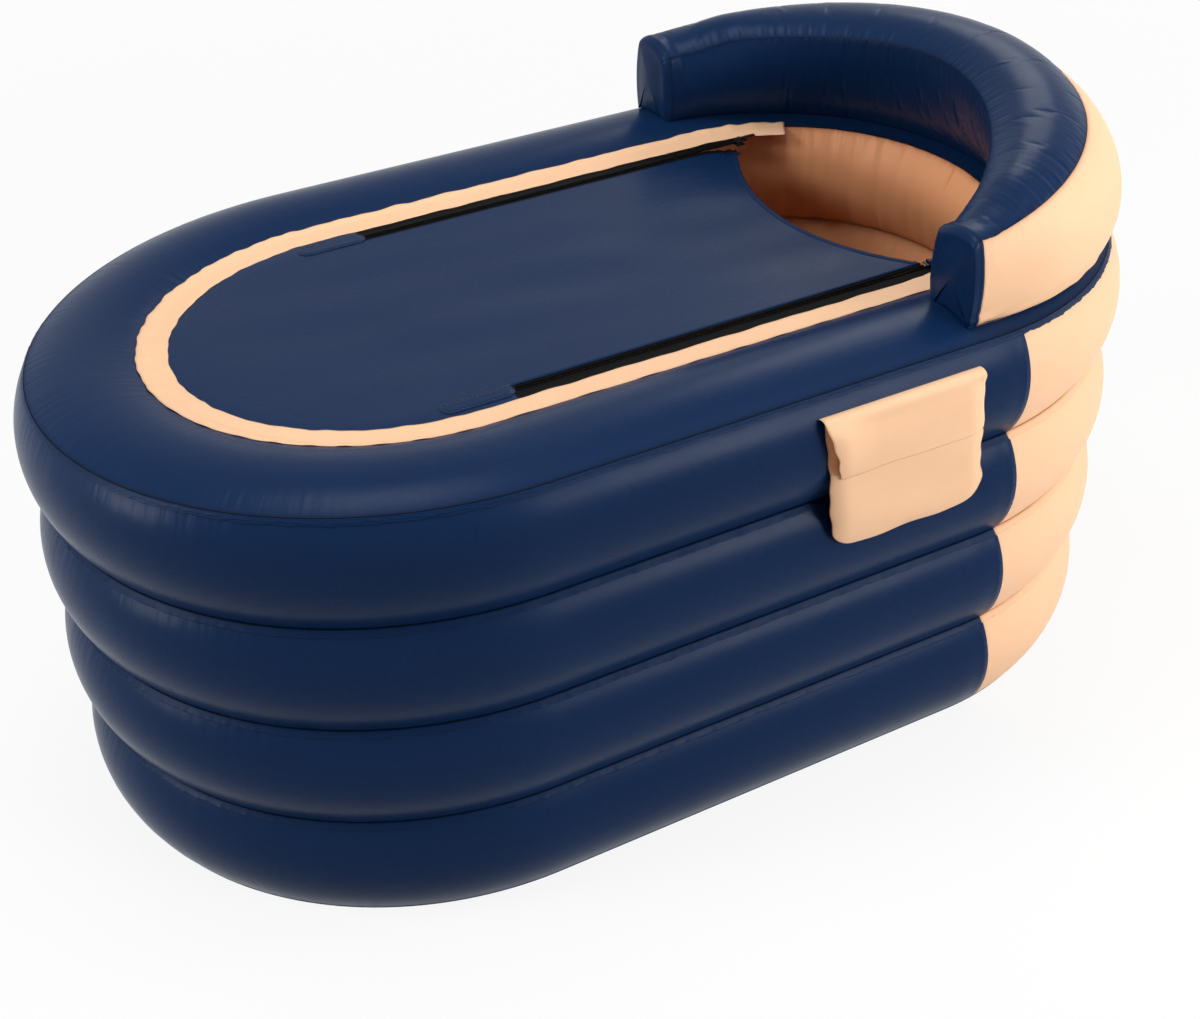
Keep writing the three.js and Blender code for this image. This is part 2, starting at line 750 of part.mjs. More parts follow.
// Air floor: long channels welded down between them, drawn to the base all round its edge

function floorHeightAt(x, y) {
  const end = x < footCentre ? footCentre : Math.max(footCentre, Math.min(x, headCentre));
  const reach = x < footCentre ? footEndLength : headEndLength;
  const alongEnd = (x - end) / (reach - floorInset);
  const acrossShare = y / (ringHalfWidth - floorInset);
  const fromMiddle = Math.min(1, Math.hypot(alongEnd, acrossShare));
  const edge = Math.min(1, (1 - fromMiddle) / floorEdgeShare);
  const channel = ((acrossShare + 1) / 2 * floorChannels) % 1;
  return floorChannelHeight * Math.sqrt(Math.sin(channel * Math.PI)) * Math.sqrt(edge);
}

function floorTopSheet() {
  const halfWidth = ringHalfWidth - floorInset;
  const footX = footCentre - footEndLength + floorInset;
  const headX = headCentre + headEndLength - floorInset;
  const xs = shares(floorRows).map((share) => mix(footX, headX, (1 - Math.cos(share * Math.PI)) / 2));
  const ys = shares(floorChannels * channelSteps).map((share) => mix(-halfWidth, halfWidth, share));
  const bottom = baseThickness + gap;
  const rows = (lift) => xs.map((x) => ys.map((y) => [x, y, bottom + lift + floorHeightAt(x, y)]));
  const outline = wholeLoop.map((station) => place(station, floorInset));
  const column = plate(outline, ([x, y]) => [x, y, 0], ([x, y]) => [x, y, ringHeight]);
  return overlapOf(slab(rows(0), rows(sheetThickness)), column);
}

// Fittings are turned round Y and moved to the far wall

function turned(profile, sides = roundSides) {
  const points = profile.map(([radius, along]) => new THREE.Vector2(radius, along));
  return new THREE.LatheGeometry([...points, points[0]], sides);
}

const ringMiddle = (ring) => (bandBottom(ring) + bandTop(ring)) / 2;

const valveRing = 2;
const valveBandY = facetY(bandSection(valveRing));
const capOuterY = tubWidth / 2;
const wallValveHeight = ringMiddle(valveRing);

function wallValveBase() {
  const outer = valveBoreRadius + valveWall;
  const mouth = capOuterY - capWall - gap;
  const profile = [
    [valveBoreRadius, valveBandY - valveDepth],
    [outer, valveBandY - valveDepth],
    [outer, valveBandY + gap],
    [valveFlangeRadius, valveBandY + gap],
    [valveFlangeRadius, valveBandY + gap + valveFlange],
    [outer, valveBandY + gap + valveFlange],
    [outer, mouth],
    [valveBoreRadius, mouth],
  ];
  return turned(profile).translate(wallValveX, 0, wallValveHeight);
}

function wallValveMembrane() {
  const radius = valveBoreRadius - gap;
  const disc = new THREE.CylinderGeometry(radius, radius, membraneThickness, roundSides);
  return disc.translate(wallValveX, valveBandY - valveDepth / 2, wallValveHeight);
}

// A screw cap with a lobed grip, hollow over its neck
function screwCap(neckRadius, seatY, x, height) {
  const innerRadius = neckRadius + gap;
  const outerRadius = innerRadius + capWall;
  const shape = new THREE.Shape();
  const points = shares(capLobes * lobeSteps).slice(0, -1).map((share) => {
    const angle = share * 2 * Math.PI;
    const radius = outerRadius + capLobeDepth * (1 + Math.cos(angle * capLobes)) / 2;
    return new THREE.Vector2(radius * Math.cos(angle), radius * Math.sin(angle));
  });
  shape.setFromPoints(points);
  const body = new THREE.ExtrudeGeometry(shape, { depth: capOuterY - seatY, bevelEnabled: false });
  body.rotateX(-Math.PI / 2).translate(0, seatY, 0);
  const hollowDepth = capOuterY - capWall - seatY;
  const hollow = new THREE.CylinderGeometry(innerRadius, innerRadius, hollowDepth + gap, roundSides);
  hollow.translate(0, seatY + (hollowDepth - gap) / 2, 0);
  return cut(body, hollow).translate(x, 0, height);
}

const wallValveCap = () =>
  screwCap(valveBoreRadius + valveWall, valveBandY + 2 * gap + valveFlange, wallValveX, wallValveHeight);

// Drain through the lowest ring
const drainRing = 0;
const drainHeight = ringMiddle(drainRing);
const drainBandY = facetY(bandSection(drainRing));
const linerFaceY = ringHalfWidth - wallDepth - linerBulge - sheetThickness;
const drainOuterRadius = drainBoreRadius + drainWall;

function drainSpigot() {
  const mouth = capOuterY - capWall - gap;
  const innerLip = linerFaceY - gap - valveFlange;
  const profile = [
    [drainBoreRadius, innerLip],
    [drainFlangeRadius, innerLip],
    [drainFlangeRadius, innerLip + valveFlange],
    [drainOuterRadius, innerLip + valveFlange],
    [drainOuterRadius, drainBandY + gap],
    [drainFlangeRadius, drainBandY + gap],
    [drainFlangeRadius, drainBandY + gap + valveFlange],
    [drainOuterRadius, drainBandY + gap + valveFlange],
    [drainOuterRadius, mouth],
    [drainBoreRadius, mouth],
  ];
  return turned(profile).translate(drainX, 0, drainHeight);
}

const drainCap = () => screwCap(drainOuterRadius, drainBandY + 2 * gap + valveFlange, drainX, drainHeight);

function drainPlug() {
  const seat = linerFaceY - 2 * gap - valveFlange;
  const profile = [
    [0, seat - plugHead],
    [drainBoreRadius + drainLip, seat - plugHead],
    [drainBoreRadius + drainLip, seat],
    [drainBoreRadius - gap, seat],
    [drainBoreRadius - gap - stopperTaper, seat + plugDepth],
    [0, seat + plugDepth],
  ];
  const body = turned(profile);
  const tab = box(
    [-drainBoreRadius / 2, drainBoreRadius / 2],
    [seat - plugHead - plugTabHeight, seat - plugHead / 2],
    [-plugTabThickness / 2, plugTabThickness / 2],
  );
  return join(body, tab).translate(drainX, 0, drainHeight);
}

// Small air valves: a stem with a flange, and a stopper; both stand along +Z before they are placed
function valveStem() {
  const outer = smallBoreRadius + smallWall;
  return turned([
    [smallBoreRadius, -smallStemDepth],
    [outer, -smallStemDepth],
    [outer, gap],
    [smallFlangeRadius, gap],
    [smallFlangeRadius, gap + valveFlange],
    [outer, gap + valveFlange],
    [outer, smallStemHeight],
    [smallBoreRadius, smallStemHeight],
  ], smallSides).rotateX(Math.PI / 2);
}

function valveStopper() {
  const seat = smallStemHeight + gap;
  return turned([
    [0, seat - smallStemHeight],
    [smallBoreRadius - gap - stopperTaper, seat - smallStemHeight],
    [smallBoreRadius - gap, seat],
    [stopperHeadRadius, seat],
    [stopperHeadRadius, seat + stopperHeadThickness],
    [0, seat + stopperHeadThickness],
  ], smallSides).rotateX(Math.PI / 2);
}

function stemHole() {
  const radius = smallBoreRadius + smallWall + gap;
  return new THREE.CylinderGeometry(radius, radius, 4 * smallStemHeight, smallSides).rotateX(Math.PI / 2);
}

// Where the floor's valve stands: on the crest of a channel
const floorValveY = (ringHalfWidth - floorInset) / floorChannels;
const floorValvePlace = new THREE.Matrix4().makeTranslation(
  floorValveX, floorValveY, baseThickness + gap + floorHeightAt(floorValveX, floorValveY) + sheetThickness,
);

// Where the backrest's valve stands: on the flat middle facet outside the far arm
function backValvePlace() {
  const low = (backSteps - 1) / 2;
  const points = armArc.slice(-2).flatMap((station) =>
    outerPanelSection(station).slice(low, low + 2).map(([inset, height]) =>
      new THREE.Vector3(...place(station, inset), height)));
  const [a, b, c, d] = points;
  const centre = new THREE.Vector3().add(a).add(b).add(c).add(d).divideScalar(points.length);
  const along = c.clone().sub(a);
  const up = b.clone().sub(a);
  const normal = along.cross(up).normalize();
  if (normal.y < 0) normal.negate();
  const turn = new THREE.Quaternion().setFromUnitVectors(new THREE.Vector3(0, 0, 1), normal);
  return new THREE.Matrix4().compose(centre, turn, new THREE.Vector3(1, 1, 1));
}

// The tub, put together

for (let ring = 0; ring < ringCount; ring += 1) {
  const name = ring + 1;
  let band = outerBand(ring);
  let liner = linerBand(ring);
  if (ring === valveRing) {
    band = cut(band, sideHole(wallValveX, wallValveHeight, valveBoreRadius + valveWall + gap, 0, tubWidth));
  }
  if (ring === drainRing) {
    const hole = () => sideHole(drainX, drainHeight, drainOuterRadius + gap, 0, tubWidth);
    band = cut(band, hole());
    liner = cut(liner, hole());
  }
  add(`outer_band_${name}`, band, navy);
  add(`head_band_${name}`, headBand(ring), peach);
  add(`liner_band_${name}`, liner, peach);
  if (ring > 0) add(`chamber_web_${ring}`, chamberWeb(ring), peach);
}
add('base_sheet', baseSheet(), navy);
add('rim_top_sheet', rimTopSheet(), navy);

const backPlace = backValvePlace();
const backPanel = cut(
  sheet(armArc, outerPanelSection, sheetThickness, 0),
  stemHole().applyMatrix4(backPlace),
);
add('backrest_outer_panel', backPanel, peach);
add('backrest_top_panel', sheet(armArc, topPanelSection, 0, sheetThickness), navy);
add('backrest_inner_panel', sheet(armArc, innerPanelSection, -sheetThickness, 0), navy);
add('backrest_base_panel', sheet(armArc, basePanelSection, 0, sheetThickness), navy);
add('backrest_near_end_panel', armEndPanel(armArc[0]), navy);
add('backrest_far_end_panel', armEndPanel(armArc[armArc.length - 1]), navy);
add('backrest_valve_stem', valveStem().applyMatrix4(backPlace), clearPlastic);
add('backrest_valve_stopper', valveStopper().applyMatrix4(backPlace), clearPlastic);

add('cover_edge_strip', coverEdgeStrip(), peach);
add('foot_cover_panel', footCoverPanel(), navy);
add('cover_flap', coverFlap(), navy);
add('neck_binding', neckBinding(), navy);
for (const [name, side] of [['near', -1], ['far', 1]]) {
  add(`zip_${name}_frame_tape`, zipFrameTape(side), black);
  add(`zip_${name}_flap_tape`, zipFlapTape(side), black);
  add(`zip_${name}_slider`, zipSlider(side), black);
  add(`zip_${name}_pull`, zipPull(side), black);
  add(`zip_${name}_patch`, zipPatch(side), navy);
}

add('pouch_back_panel', pouchBackPanel(), peach);
add('pouch_front_panel', pouchFrontPanel(), peach);
add('pouch_flap', pouchFlap(), peach);

const floorHole = stemHole().applyMatrix4(floorValvePlace);
add('floor_top_sheet', cut(floorTopSheet(), floorHole), peach);
add('floor_valve_stem', valveStem().applyMatrix4(floorValvePlace), clearPlastic);
add('floor_valve_stopper', valveStopper().applyMatrix4(floorValvePlace), clearPlastic);

add('wall_valve_base', wallValveBase(), clearPlastic);
add('wall_valve_membrane', wallValveMembrane(), clearPlastic);
add('wall_valve_cap', wallValveCap(), clearPlastic);
add('drain_spigot', drainSpigot(), clearPlastic);
add('drain_plug', drainPlug(), clearPlastic);
add('drain_cap', drainCap(), clearPlastic);

export default tub;
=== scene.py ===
"""Inflatable bathtub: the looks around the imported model.

Every size is in metres, +Z up, +X towards the backrest, the pocket on the -Y side.
"""

import math
from contextlib import contextmanager

import bmesh
import bpy
import numpy as np
from mathutils import Matrix, Vector


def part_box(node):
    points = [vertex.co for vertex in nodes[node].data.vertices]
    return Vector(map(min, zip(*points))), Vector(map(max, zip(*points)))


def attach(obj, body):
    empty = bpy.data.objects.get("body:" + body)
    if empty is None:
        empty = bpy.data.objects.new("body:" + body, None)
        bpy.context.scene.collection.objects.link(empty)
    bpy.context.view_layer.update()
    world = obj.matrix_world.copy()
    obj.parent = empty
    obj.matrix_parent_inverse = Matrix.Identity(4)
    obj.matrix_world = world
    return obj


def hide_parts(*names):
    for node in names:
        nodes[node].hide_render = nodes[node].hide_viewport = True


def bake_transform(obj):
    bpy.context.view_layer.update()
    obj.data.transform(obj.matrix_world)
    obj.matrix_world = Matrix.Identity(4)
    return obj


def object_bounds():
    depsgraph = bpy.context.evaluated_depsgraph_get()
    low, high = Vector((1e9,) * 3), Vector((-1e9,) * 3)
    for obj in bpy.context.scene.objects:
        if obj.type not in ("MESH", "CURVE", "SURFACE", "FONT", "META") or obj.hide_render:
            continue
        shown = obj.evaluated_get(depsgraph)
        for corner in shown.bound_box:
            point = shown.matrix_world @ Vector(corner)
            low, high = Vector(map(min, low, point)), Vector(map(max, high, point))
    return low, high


bl_info = {
    "name": "Inflatable Bathtub",
    "version": (1, 0, 0),
    "blender": (4, 5, 0),
    "location": "View3D > Sidebar > Bathtub",
    "description": "Builds an inflatable bathtub with an air cushion, a zipped cover and a side pocket",
    "category": "Object",
}

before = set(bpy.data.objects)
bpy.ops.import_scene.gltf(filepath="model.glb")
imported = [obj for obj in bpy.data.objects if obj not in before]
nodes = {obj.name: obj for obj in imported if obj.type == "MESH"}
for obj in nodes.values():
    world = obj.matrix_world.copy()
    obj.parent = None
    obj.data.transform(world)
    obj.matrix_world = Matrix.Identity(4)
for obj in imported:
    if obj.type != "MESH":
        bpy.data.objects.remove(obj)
CAD_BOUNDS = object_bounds()

MM = 0.001
LOW, HIGH = CAD_BOUNDS
RIM_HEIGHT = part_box("outer_band_4")[1].z + 0.3 * MM
RING_HEIGHT = RIM_HEIGHT / 4
HALF_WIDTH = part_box("outer_band_4")[1].y
FOOT_REACH = 0.440
HEAD_REACH = 0.398
FOOT_CENTRE = LOW.x + FOOT_REACH
HEAD_CENTRE = HIGH.x - HEAD_REACH
STRAIGHT = HEAD_CENTRE - FOOT_CENTRE
HEAD_ARC = math.pi * math.sqrt((HEAD_REACH**2 + HALF_WIDTH**2) / 2)
FOOT_ARC = math.pi * math.sqrt((FOOT_REACH**2 + HALF_WIDTH**2) / 2)
LOOP = HEAD_ARC + FOOT_ARC + 2 * STRAIGHT
RING_SETBACKS = (0.012, 0.005, 0.002, 0.0)
COVER_TOP = RIM_HEIGHT + 0.5 * MM
# Insets are measured from the outline towards the middle
RIM_OUTER, RIM_INNER, RIM_CROWN = 0.022, 0.150, 0.017
SEAM_DEPTH = 0.024
SHEET_WALL = 0.0006
LINING_INSET, LINING_BULGE = 0.1505, 0.022
STRIP_OUTER, STRIP_INNER = 0.144, 0.179
COVER_INSET = 0.173
FLOOR_INSET = 0.182
ZIP_Y = 0.212
ZIP_FOOT_X = -0.210
ZIP_HEAD_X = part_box("cover_flap")[1].x
FLAP_EDGE_Y = 0.204
SEED = 7


def groove_inset(level):
    """How far the seam under ring number level lies inside the outline."""
    if level == len(RING_SETBACKS):
        return RIM_OUTER
    below = RING_SETBACKS[max(level - 1, 0)]
    return (below + RING_SETBACKS[level]) / 2 + SEAM_DEPTH


# Sizes and colours that a user would change


def colour_choice(name, value):
    return bpy.props.FloatVectorProperty(
        name=name, description=f"Colour of the {name.lower()}",
        subtype="COLOR", size=3, min=0, max=1, default=value)


def length_choice(name, text, value, low, high, digits=4):
    return bpy.props.FloatProperty(
        name=name, description=text, default=value, min=low, max=high, precision=digits, unit="LENGTH")


class TubColours(bpy.types.PropertyGroup):
    navy: colour_choice("Navy sheet", (0.0045, 0.0200, 0.0680))
    peach: colour_choice("Peach sheet", (0.93, 0.575, 0.350))
    # The lining colour is the peach sheet made deeper and more orange: painted shade for the inside of the
    # tub
    lining: colour_choice("Lining", (0.86, 0.385, 0.185))
    zip_black: colour_choice("Zip tapes and teeth", (0.0025, 0.0025, 0.0025))
    fitting: colour_choice("Valves and drain", (0.80, 0.84, 0.88))
    thread: colour_choice("Thread", (0.0015, 0.003, 0.008))


class TubSheets(bpy.types.PropertyGroup):
    thickness: length_choice(
        "Sheet thickness", "Thickness of the air chambers' sheet", 0.0005, 0.0002, 0.002)
    spacing: length_choice(
        "Mesh spacing", "Distance between points along the wall", 0.0065, 0.002, 0.05)
    gather_depth: length_choice(
        "Gather depth", "Depth of the gathers beside the welded seams", 0.0005, 0.0, 0.01)
    gather_reach: length_choice(
        "Gather reach", "How far the gathers run from a seam", 0.022, 0.001, 0.2, 3)
    flange: length_choice(
        "Weld flange", "How far the welded edges stand out of the grooves", 0.0072, 0.0, 0.02)


class CushionSizes(bpy.types.PropertyGroup):
    gather_depth: length_choice(
        "Cushion gathers", "Depth of the gathers along the cushion's outer seam", 0.0022, 0.0, 0.01)
    end_round: length_choice(
        "Arm end rounding", "Radius of the rounded edges at the arms' ends", 0.012, 0.001, 0.04, 3)
    swell: length_choice(
        "Swell", "How far air pressure may move a point of the cushion", 0.004, 0.0, 0.02)


class CoverSizes(bpy.types.PropertyGroup):
    sag: length_choice("Cover sag", "How far the cover hangs between the zips", 0.004, 0.0, 0.02)
    tooth_pitch: length_choice("Tooth pitch", "Distance between the zip's teeth", 0.0024, 0.001, 0.01)
    stitch_pitch: length_choice(
        "Stitch pitch", "Distance from one stitch to the next", 0.0062, 0.001, 0.02)
    stitch_length: length_choice("Stitch length", "Length of one stitch", 0.0044, 0.0005, 0.02)


class TubStage(bpy.types.PropertyGroup):
    lens: bpy.props.FloatProperty(
        name="Lens", description="Focal length of the camera in millimetres", default=53.64, min=10, max=300)
    floor_size: length_choice("Floor size", "Side of the floor", 16.0, 2, 60, 2)


# Shader and geometry maths


def maths(operation, reverse=False):
    """A method that adds one math node to a signal's tree."""

    def method(self, *others):
        values = (*others, self) if reverse else (self, *others)
        return self.graph.add("ShaderNodeMath", {"operation": operation}, dict(enumerate(values)))

    return method


class Signal:
    """A node socket that takes part in Python arithmetic."""

    def __init__(self, graph, socket):
        self.graph, self.socket = graph, socket

    __add__ = __radd__ = maths("ADD")
    __mul__ = __rmul__ = maths("MULTIPLY")
    __sub__, __rsub__ = maths("SUBTRACT"), maths("SUBTRACT", reverse=True)
    __truediv__, __abs__ = maths("DIVIDE"), maths("ABSOLUTE")
    root, exp, sine, cosine = maths("SQRT"), maths("EXPONENT"), maths("SINE"), maths("COSINE")
    least, most, above = maths("MINIMUM"), maths("MAXIMUM"), maths("GREATER_THAN")

    def __neg__(self):
        return self * -1.0

    def within(self, low, high):
        return self.most(low).least(high)


class Graph:
    """A node tree that is built from Python."""

    def __init__(self, tree):
        self.tree = tree

    def add(self, kind, settings=None, values=None, out=0):
        node = self.tree.nodes.new(kind)
        for key, value in (settings or {}).items():
            setattr(node, key, value)
        for key, value in (values or {}).items():
            if isinstance(value, Signal):
                self.tree.links.new(value.socket, node.inputs[key])
            else:
                node.inputs[key].default_value = value
        return Signal(self, node.outputs[out]) if node.outputs else None

    def other(self, signal, name):
        """Another output of the node that a signal comes from."""
        return Signal(self, signal.socket.node.outputs[name])

    def mix(self, share, first, second):
        """One colour blended into another."""
        return self.add("ShaderNodeMix", {"data_type": "RGBA"}, {0: share, 6: first, 7: second}, out=2)

    def noise(self, vector, scale, detail):
        return self.add("ShaderNodeTexNoise", None, {
            "Vector": vector, "Scale": scale, "Detail": detail, "Roughness": 0.5})

    def vector(self, x, y, z):
        return self.add("ShaderNodeCombineXYZ", None, {0: x, 1: y, 2: z})

    def place(self):
        """Object coordinates."""
        return self.other(self.add("ShaderNodeTexCoord"), "Object")

    def surface(self, strength, height, values):
        """The surface shader with its bump, and the output."""
        bump = self.add("ShaderNodeBump", None, {"Strength": strength, "Distance": 1.0, "Height": height})
        shader = self.add("ShaderNodeBsdfPrincipled", None, {**values, "Normal": bump})
        self.add("ShaderNodeOutputMaterial", None, {"Surface": shader})

    def seen(self):
        """1 where a ray comes from the camera, a mirror or clear plastic."""
        path = self.add("ShaderNodeLightPath")
        mirrored = self.other(path, "Is Glossy Ray").most(self.other(path, "Is Transmission Ray"))
        return self.other(path, "Is Camera Ray").most(mirrored)


def rgba(colour, factor=1.0):
    return tuple(min(1.0, c * factor) for c in colour) + (1.0,)


# Materials


def new_material(name):
    """The empty graph of a new material, and the object coordinates in it."""
    material = bpy.data.materials.new(name)
    material.use_nodes = True
    material.node_tree.nodes.clear()
    graph = Graph(material.node_tree)
    return graph, graph.place()


def pvc_sheet(name, colour, painted_shade, roughness, specular):
    """Satin coated sheet, darkened towards a painted shade colour near its seams and in its grooves. Its
    sheet attribute: metres along the seam, metres from it, and gathers.
    """
    graph, place = new_material(name)
    sheet = graph.add("ShaderNodeAttribute", {"attribute_name": "sheet"}, out="Vector")
    along = graph.add("ShaderNodeSeparateXYZ", None, {0: sheet})
    from_seam, gathers = graph.other(along, "Y"), graph.other(along, "Z")
    cloudy = graph.noise(place, 5.0, 3.0)
    mottled = graph.noise(place, 70.0, 2.0)
    tone = 0.80 * cloudy + 0.20 * mottled
    base = graph.mix(tone.within(0.0, 1.0), rgba(colour, 0.93), rgba(colour, 1.07))
    # Painted shade: close to a seam or groove the colour is blended into the dark shade colour
    painted_groove_shade = (from_seam * -420.0).exp()
    base = graph.mix((painted_groove_shade * 0.8).within(0.0, 1.0), base, painted_shade)
    uneven = graph.noise(place, 26.0, 3.0)
    welded = (from_seam * -150.0).exp()
    rough = roughness + 0.10 * (uneven - 0.5) + 0.05 * (mottled - 0.5) + 0.24 * welded
    line = graph.vector(along * 95.0, from_seam * 10.0, 0.0)
    folds = graph.noise(line, 1.0, 1.5) * (from_seam * -42.0).exp() * gathers
    fine = graph.noise(place, 1500.0, 1.0)
    dents = graph.noise(place, 14.0, 2.0)
    graph.surface(0.75, 0.0016 * folds + 0.000016 * fine + 0.00035 * dents, {
        "Base Color": base, "Roughness": rough, "Specular IOR Level": specular})


def zip_cloth(name, colour):
    """Woven, coated zip tape: fine ribs across its length."""
    graph, place = new_material(name)
    parts = graph.add("ShaderNodeSeparateXYZ", None, {0: place})
    ribs = (parts * 5200.0).sine() * (graph.other(parts, "Y") * 5200.0).sine()
    uneven = graph.noise(place, 160.0, 3.0)
    graph.surface(0.8, 0.00004 * ribs + 0.00006 * uneven, {
        "Base Color": graph.mix(uneven, rgba(colour, 0.6), rgba(colour, 1.8)),
        "Roughness": 0.55 + 0.14 * uneven, "Specular IOR Level": 0.04})


def painted_metal(name, colour):
    """Black paint on die-cast metal, worn to grey where it rubs."""
    graph, place = new_material(name)
    uneven = graph.noise(place, 320.0, 3.0)
    worn = ((uneven - 0.63) * 12.0).within(0.0, 1.0)
    graph.surface(0.6, 0.00005 * uneven, {
        "Base Color": graph.mix(worn * 0.6, rgba(colour, 2.5), (0.12, 0.12, 0.125, 1.0)),
        "Metallic": 0.55 * worn, "Roughness": 0.28 + 0.25 * uneven})


def moulded_plastic(name, colour):
    """Translucent moulding with faint flow marks."""
    graph, place = new_material(name)
    uneven = graph.noise(place, 90.0, 2.0)
    graph.surface(0.5, 0.00006 * uneven + 0.00001 * graph.noise(place, 1400.0, 1.0), {
        "Base Color": graph.mix(uneven, rgba(colour, 0.92), rgba(colour, 1.04)),
        "Roughness": 0.20 + 0.12 * uneven, "Transmission Weight": 0.35, "IOR": 1.46})


def sewing_thread(name, colour):
    """Twisted thread."""
    graph, place = new_material(name)
    twist = graph.noise(place, 1100.0, 2.0)
    graph.surface(0.6, 0.0001 * twist, {
        "Base Color": graph.mix(twist, rgba(colour, 0.7), rgba(colour, 1.6)),
        "Roughness": 0.62 + 0.1 * twist})


def materials():
    """The finishes, made on first use."""
    if "tub_navy_sheet" not in bpy.data.materials:
        colours = bpy.context.scene.tub_colours
        # The dark colour after each sheet's own colour is its painted shade for grooves and seams
        pvc_sheet("tub_navy_sheet", colours.navy, (0.0006, 0.003, 0.012, 1.0), 0.28, 0.07)
        pvc_sheet("tub_peach_sheet", colours.peach, (0.42, 0.17, 0.08, 1.0), 0.50, 0.15)
        pvc_sheet("tub_peach_in_shade_sheet", colours.lining, (0.30, 0.10, 0.035, 1.0), 0.48, 0.15)
        zip_cloth("tub_zip_tape", colours.zip_black)
        painted_metal("tub_zip_metal", colours.zip_black)
        moulded_plastic("tub_fitting", colours.fitting)
        sewing_thread("tub_thread", colours.thread)
    return bpy.data.materials


# Sheets swept round the tub's outline, by Geometry Nodes


SWEEP_INPUTS = (
    ("Start", 0.0), ("End", 1.0), ("Low inset", 0.0), ("High inset", 0.0), ("Bottom", 0.0),
    ("Top", 0.1), ("Bulge", 0.0), ("Crown", 0.0), ("Gather depth", 0.0), ("Gather reach", 0.02),
    ("Seed", 0.0), ("Weld", 1.0), ("Edge spacing", 1.0),
    ("Foot reach", FOOT_REACH), ("Head reach", HEAD_REACH), ("Half width", HALF_WIDTH),
)


def new_tree(name, floats, integers, source=False):
    """An empty tree with its inputs; also its graph, and a function that gives an input by name."""
    tree = bpy.data.node_groups.new(name, "GeometryNodeTree")
    tree.interface.new_socket("Geometry", in_out="OUTPUT", socket_type="NodeSocketGeometry")
    if source:
        tree.interface.new_socket("Geometry", in_out="INPUT", socket_type="NodeSocketGeometry")
    for kind, inputs in (("Float", floats), ("Int", integers)):
        for label, value in inputs:
            socket = tree.interface.new_socket(label, in_out="INPUT", socket_type=f"NodeSocket{kind}")
            socket.default_value = value
    tree.interface.new_socket("Material", in_out="INPUT", socket_type="NodeSocketMaterial")
    graph = Graph(tree)
    given = graph.add("NodeGroupInput")
    return tree, graph, lambda label: graph.other(given, label)


def end_tree(graph, geometry, material):
    real = graph.add("GeometryNodeRealizeInstances", None, {"Geometry": geometry})
    done = graph.add("GeometryNodeSetMaterial", None, {"Geometry": real, "Material": material})
    graph.add("NodeGroupOutput", None, {"Geometry": done})


def sweep_tree():
    """The tree that makes a sheet along the outline from its section; share 0 is the middle of the head."""
    if "tub_swept_sheet" in bpy.data.node_groups:
        return bpy.data.node_groups["tub_swept_sheet"]
    tree, graph, size = new_tree(
        "tub_swept_sheet", SWEEP_INPUTS, (("Steps along", 100), ("Steps across", 10)))
    columns, rows = size("Steps along") + 1.0, size("Steps across") + 1.0
    grid = graph.add("GeometryNodeMeshGrid", None, {
        "Size X": 1.0, "Size Y": 1.0, "Vertices X": columns, "Vertices Y": rows})
    position = graph.add("ShaderNodeSeparateXYZ", None, {0: graph.add("GeometryNodeInputPosition")})
    along = size("Start") + (position + 0.5) * (size("End") - size("Start"))
    even = graph.other(position, "Y") + 0.5
    eased = 0.5 - 0.5 * (even * math.pi).cosine()
    across = even + (eased - even) * size("Edge spacing")

    half_head = HEAD_ARC / 2
    head = (along / HEAD_ARC).within(-0.5, 0.5)
    foot = ((along - (half_head + STRAIGHT)) / FOOT_ARC).within(0.0, 1.0)
    home = ((along - (half_head + 2 * STRAIGHT + FOOT_ARC)) / HEAD_ARC).within(0.0, 0.5)
    turn = math.pi * (head + foot + home)
    out = ((along - half_head) / STRAIGHT).within(0.0, 1.0)
    back = ((along - (half_head + STRAIGHT + FOOT_ARC)) / STRAIGHT).within(0.0, 1.0)
    centre = HEAD_CENTRE - STRAIGHT * (out - back)
    cosine, sine = turn.cosine(), turn.sine()
    is_head = cosine.above(0.0)
    reach = size("Foot reach") + (size("Head reach") - size("Foot reach")) * is_head

    width = size("High inset") - size("Low inset")
    tall = size("Top") - size("Bottom")
    chord = (width * width + tall * tall).root()
    rise = (abs(size("Bulge")) + size("Crown")).most(0.00001)
    radius = (chord * chord / 4.0 + rise * rise) / (2.0 * rise)
    offset = chord * (across - 0.5)
    arc = ((radius * radius - offset * offset).root() - (radius - rise)) / rise
    from_seam = chord * across.least(1.0 - across)
    curved = (abs(cosine) * 1.6).within(0.0, 1.0)
    round_tub = along * (2 * math.pi / LOOP)
    far = 42.0 * LOOP / (2 * math.pi)
    spot = graph.vector(round_tub.cosine() * far, round_tub.sine() * far, across * 1.2 + size("Seed") * 7.3)
    gather = (graph.noise(spot, 1.0, 1.0) - 0.5) * (-from_seam / size("Gather reach")).exp()
    gather = gather * curved * size("Gather depth") * 4.0
    gather = gather * (from_seam * 400.0).within(0.0, 1.0)
    inset = size("Low inset") + width * across - size("Bulge") * arc - gather
    height = size("Bottom") + tall * across + size("Crown") * arc

    place = graph.vector(centre + (reach - inset) * cosine, (size("Half width") - inset) * sine, height)
    # The distance from the seam drives the finish's painted seam shade; Weld 0 pushes it away so that none is
    # painted
    weld = from_seam + (1.0 - size("Weld")) * 1.0
    note = graph.vector(along, weld, curved * size("Weld"))
    held = graph.add("GeometryNodeStoreNamedAttribute", {"data_type": "FLOAT_VECTOR", "domain": "POINT"}, {
        "Geometry": grid, "Name": "sheet", "Value": note})
    moved = graph.add("GeometryNodeSetPosition", None, {"Geometry": held, "Position": place})
    end_tree(graph, moved, size("Material"))
    return tree


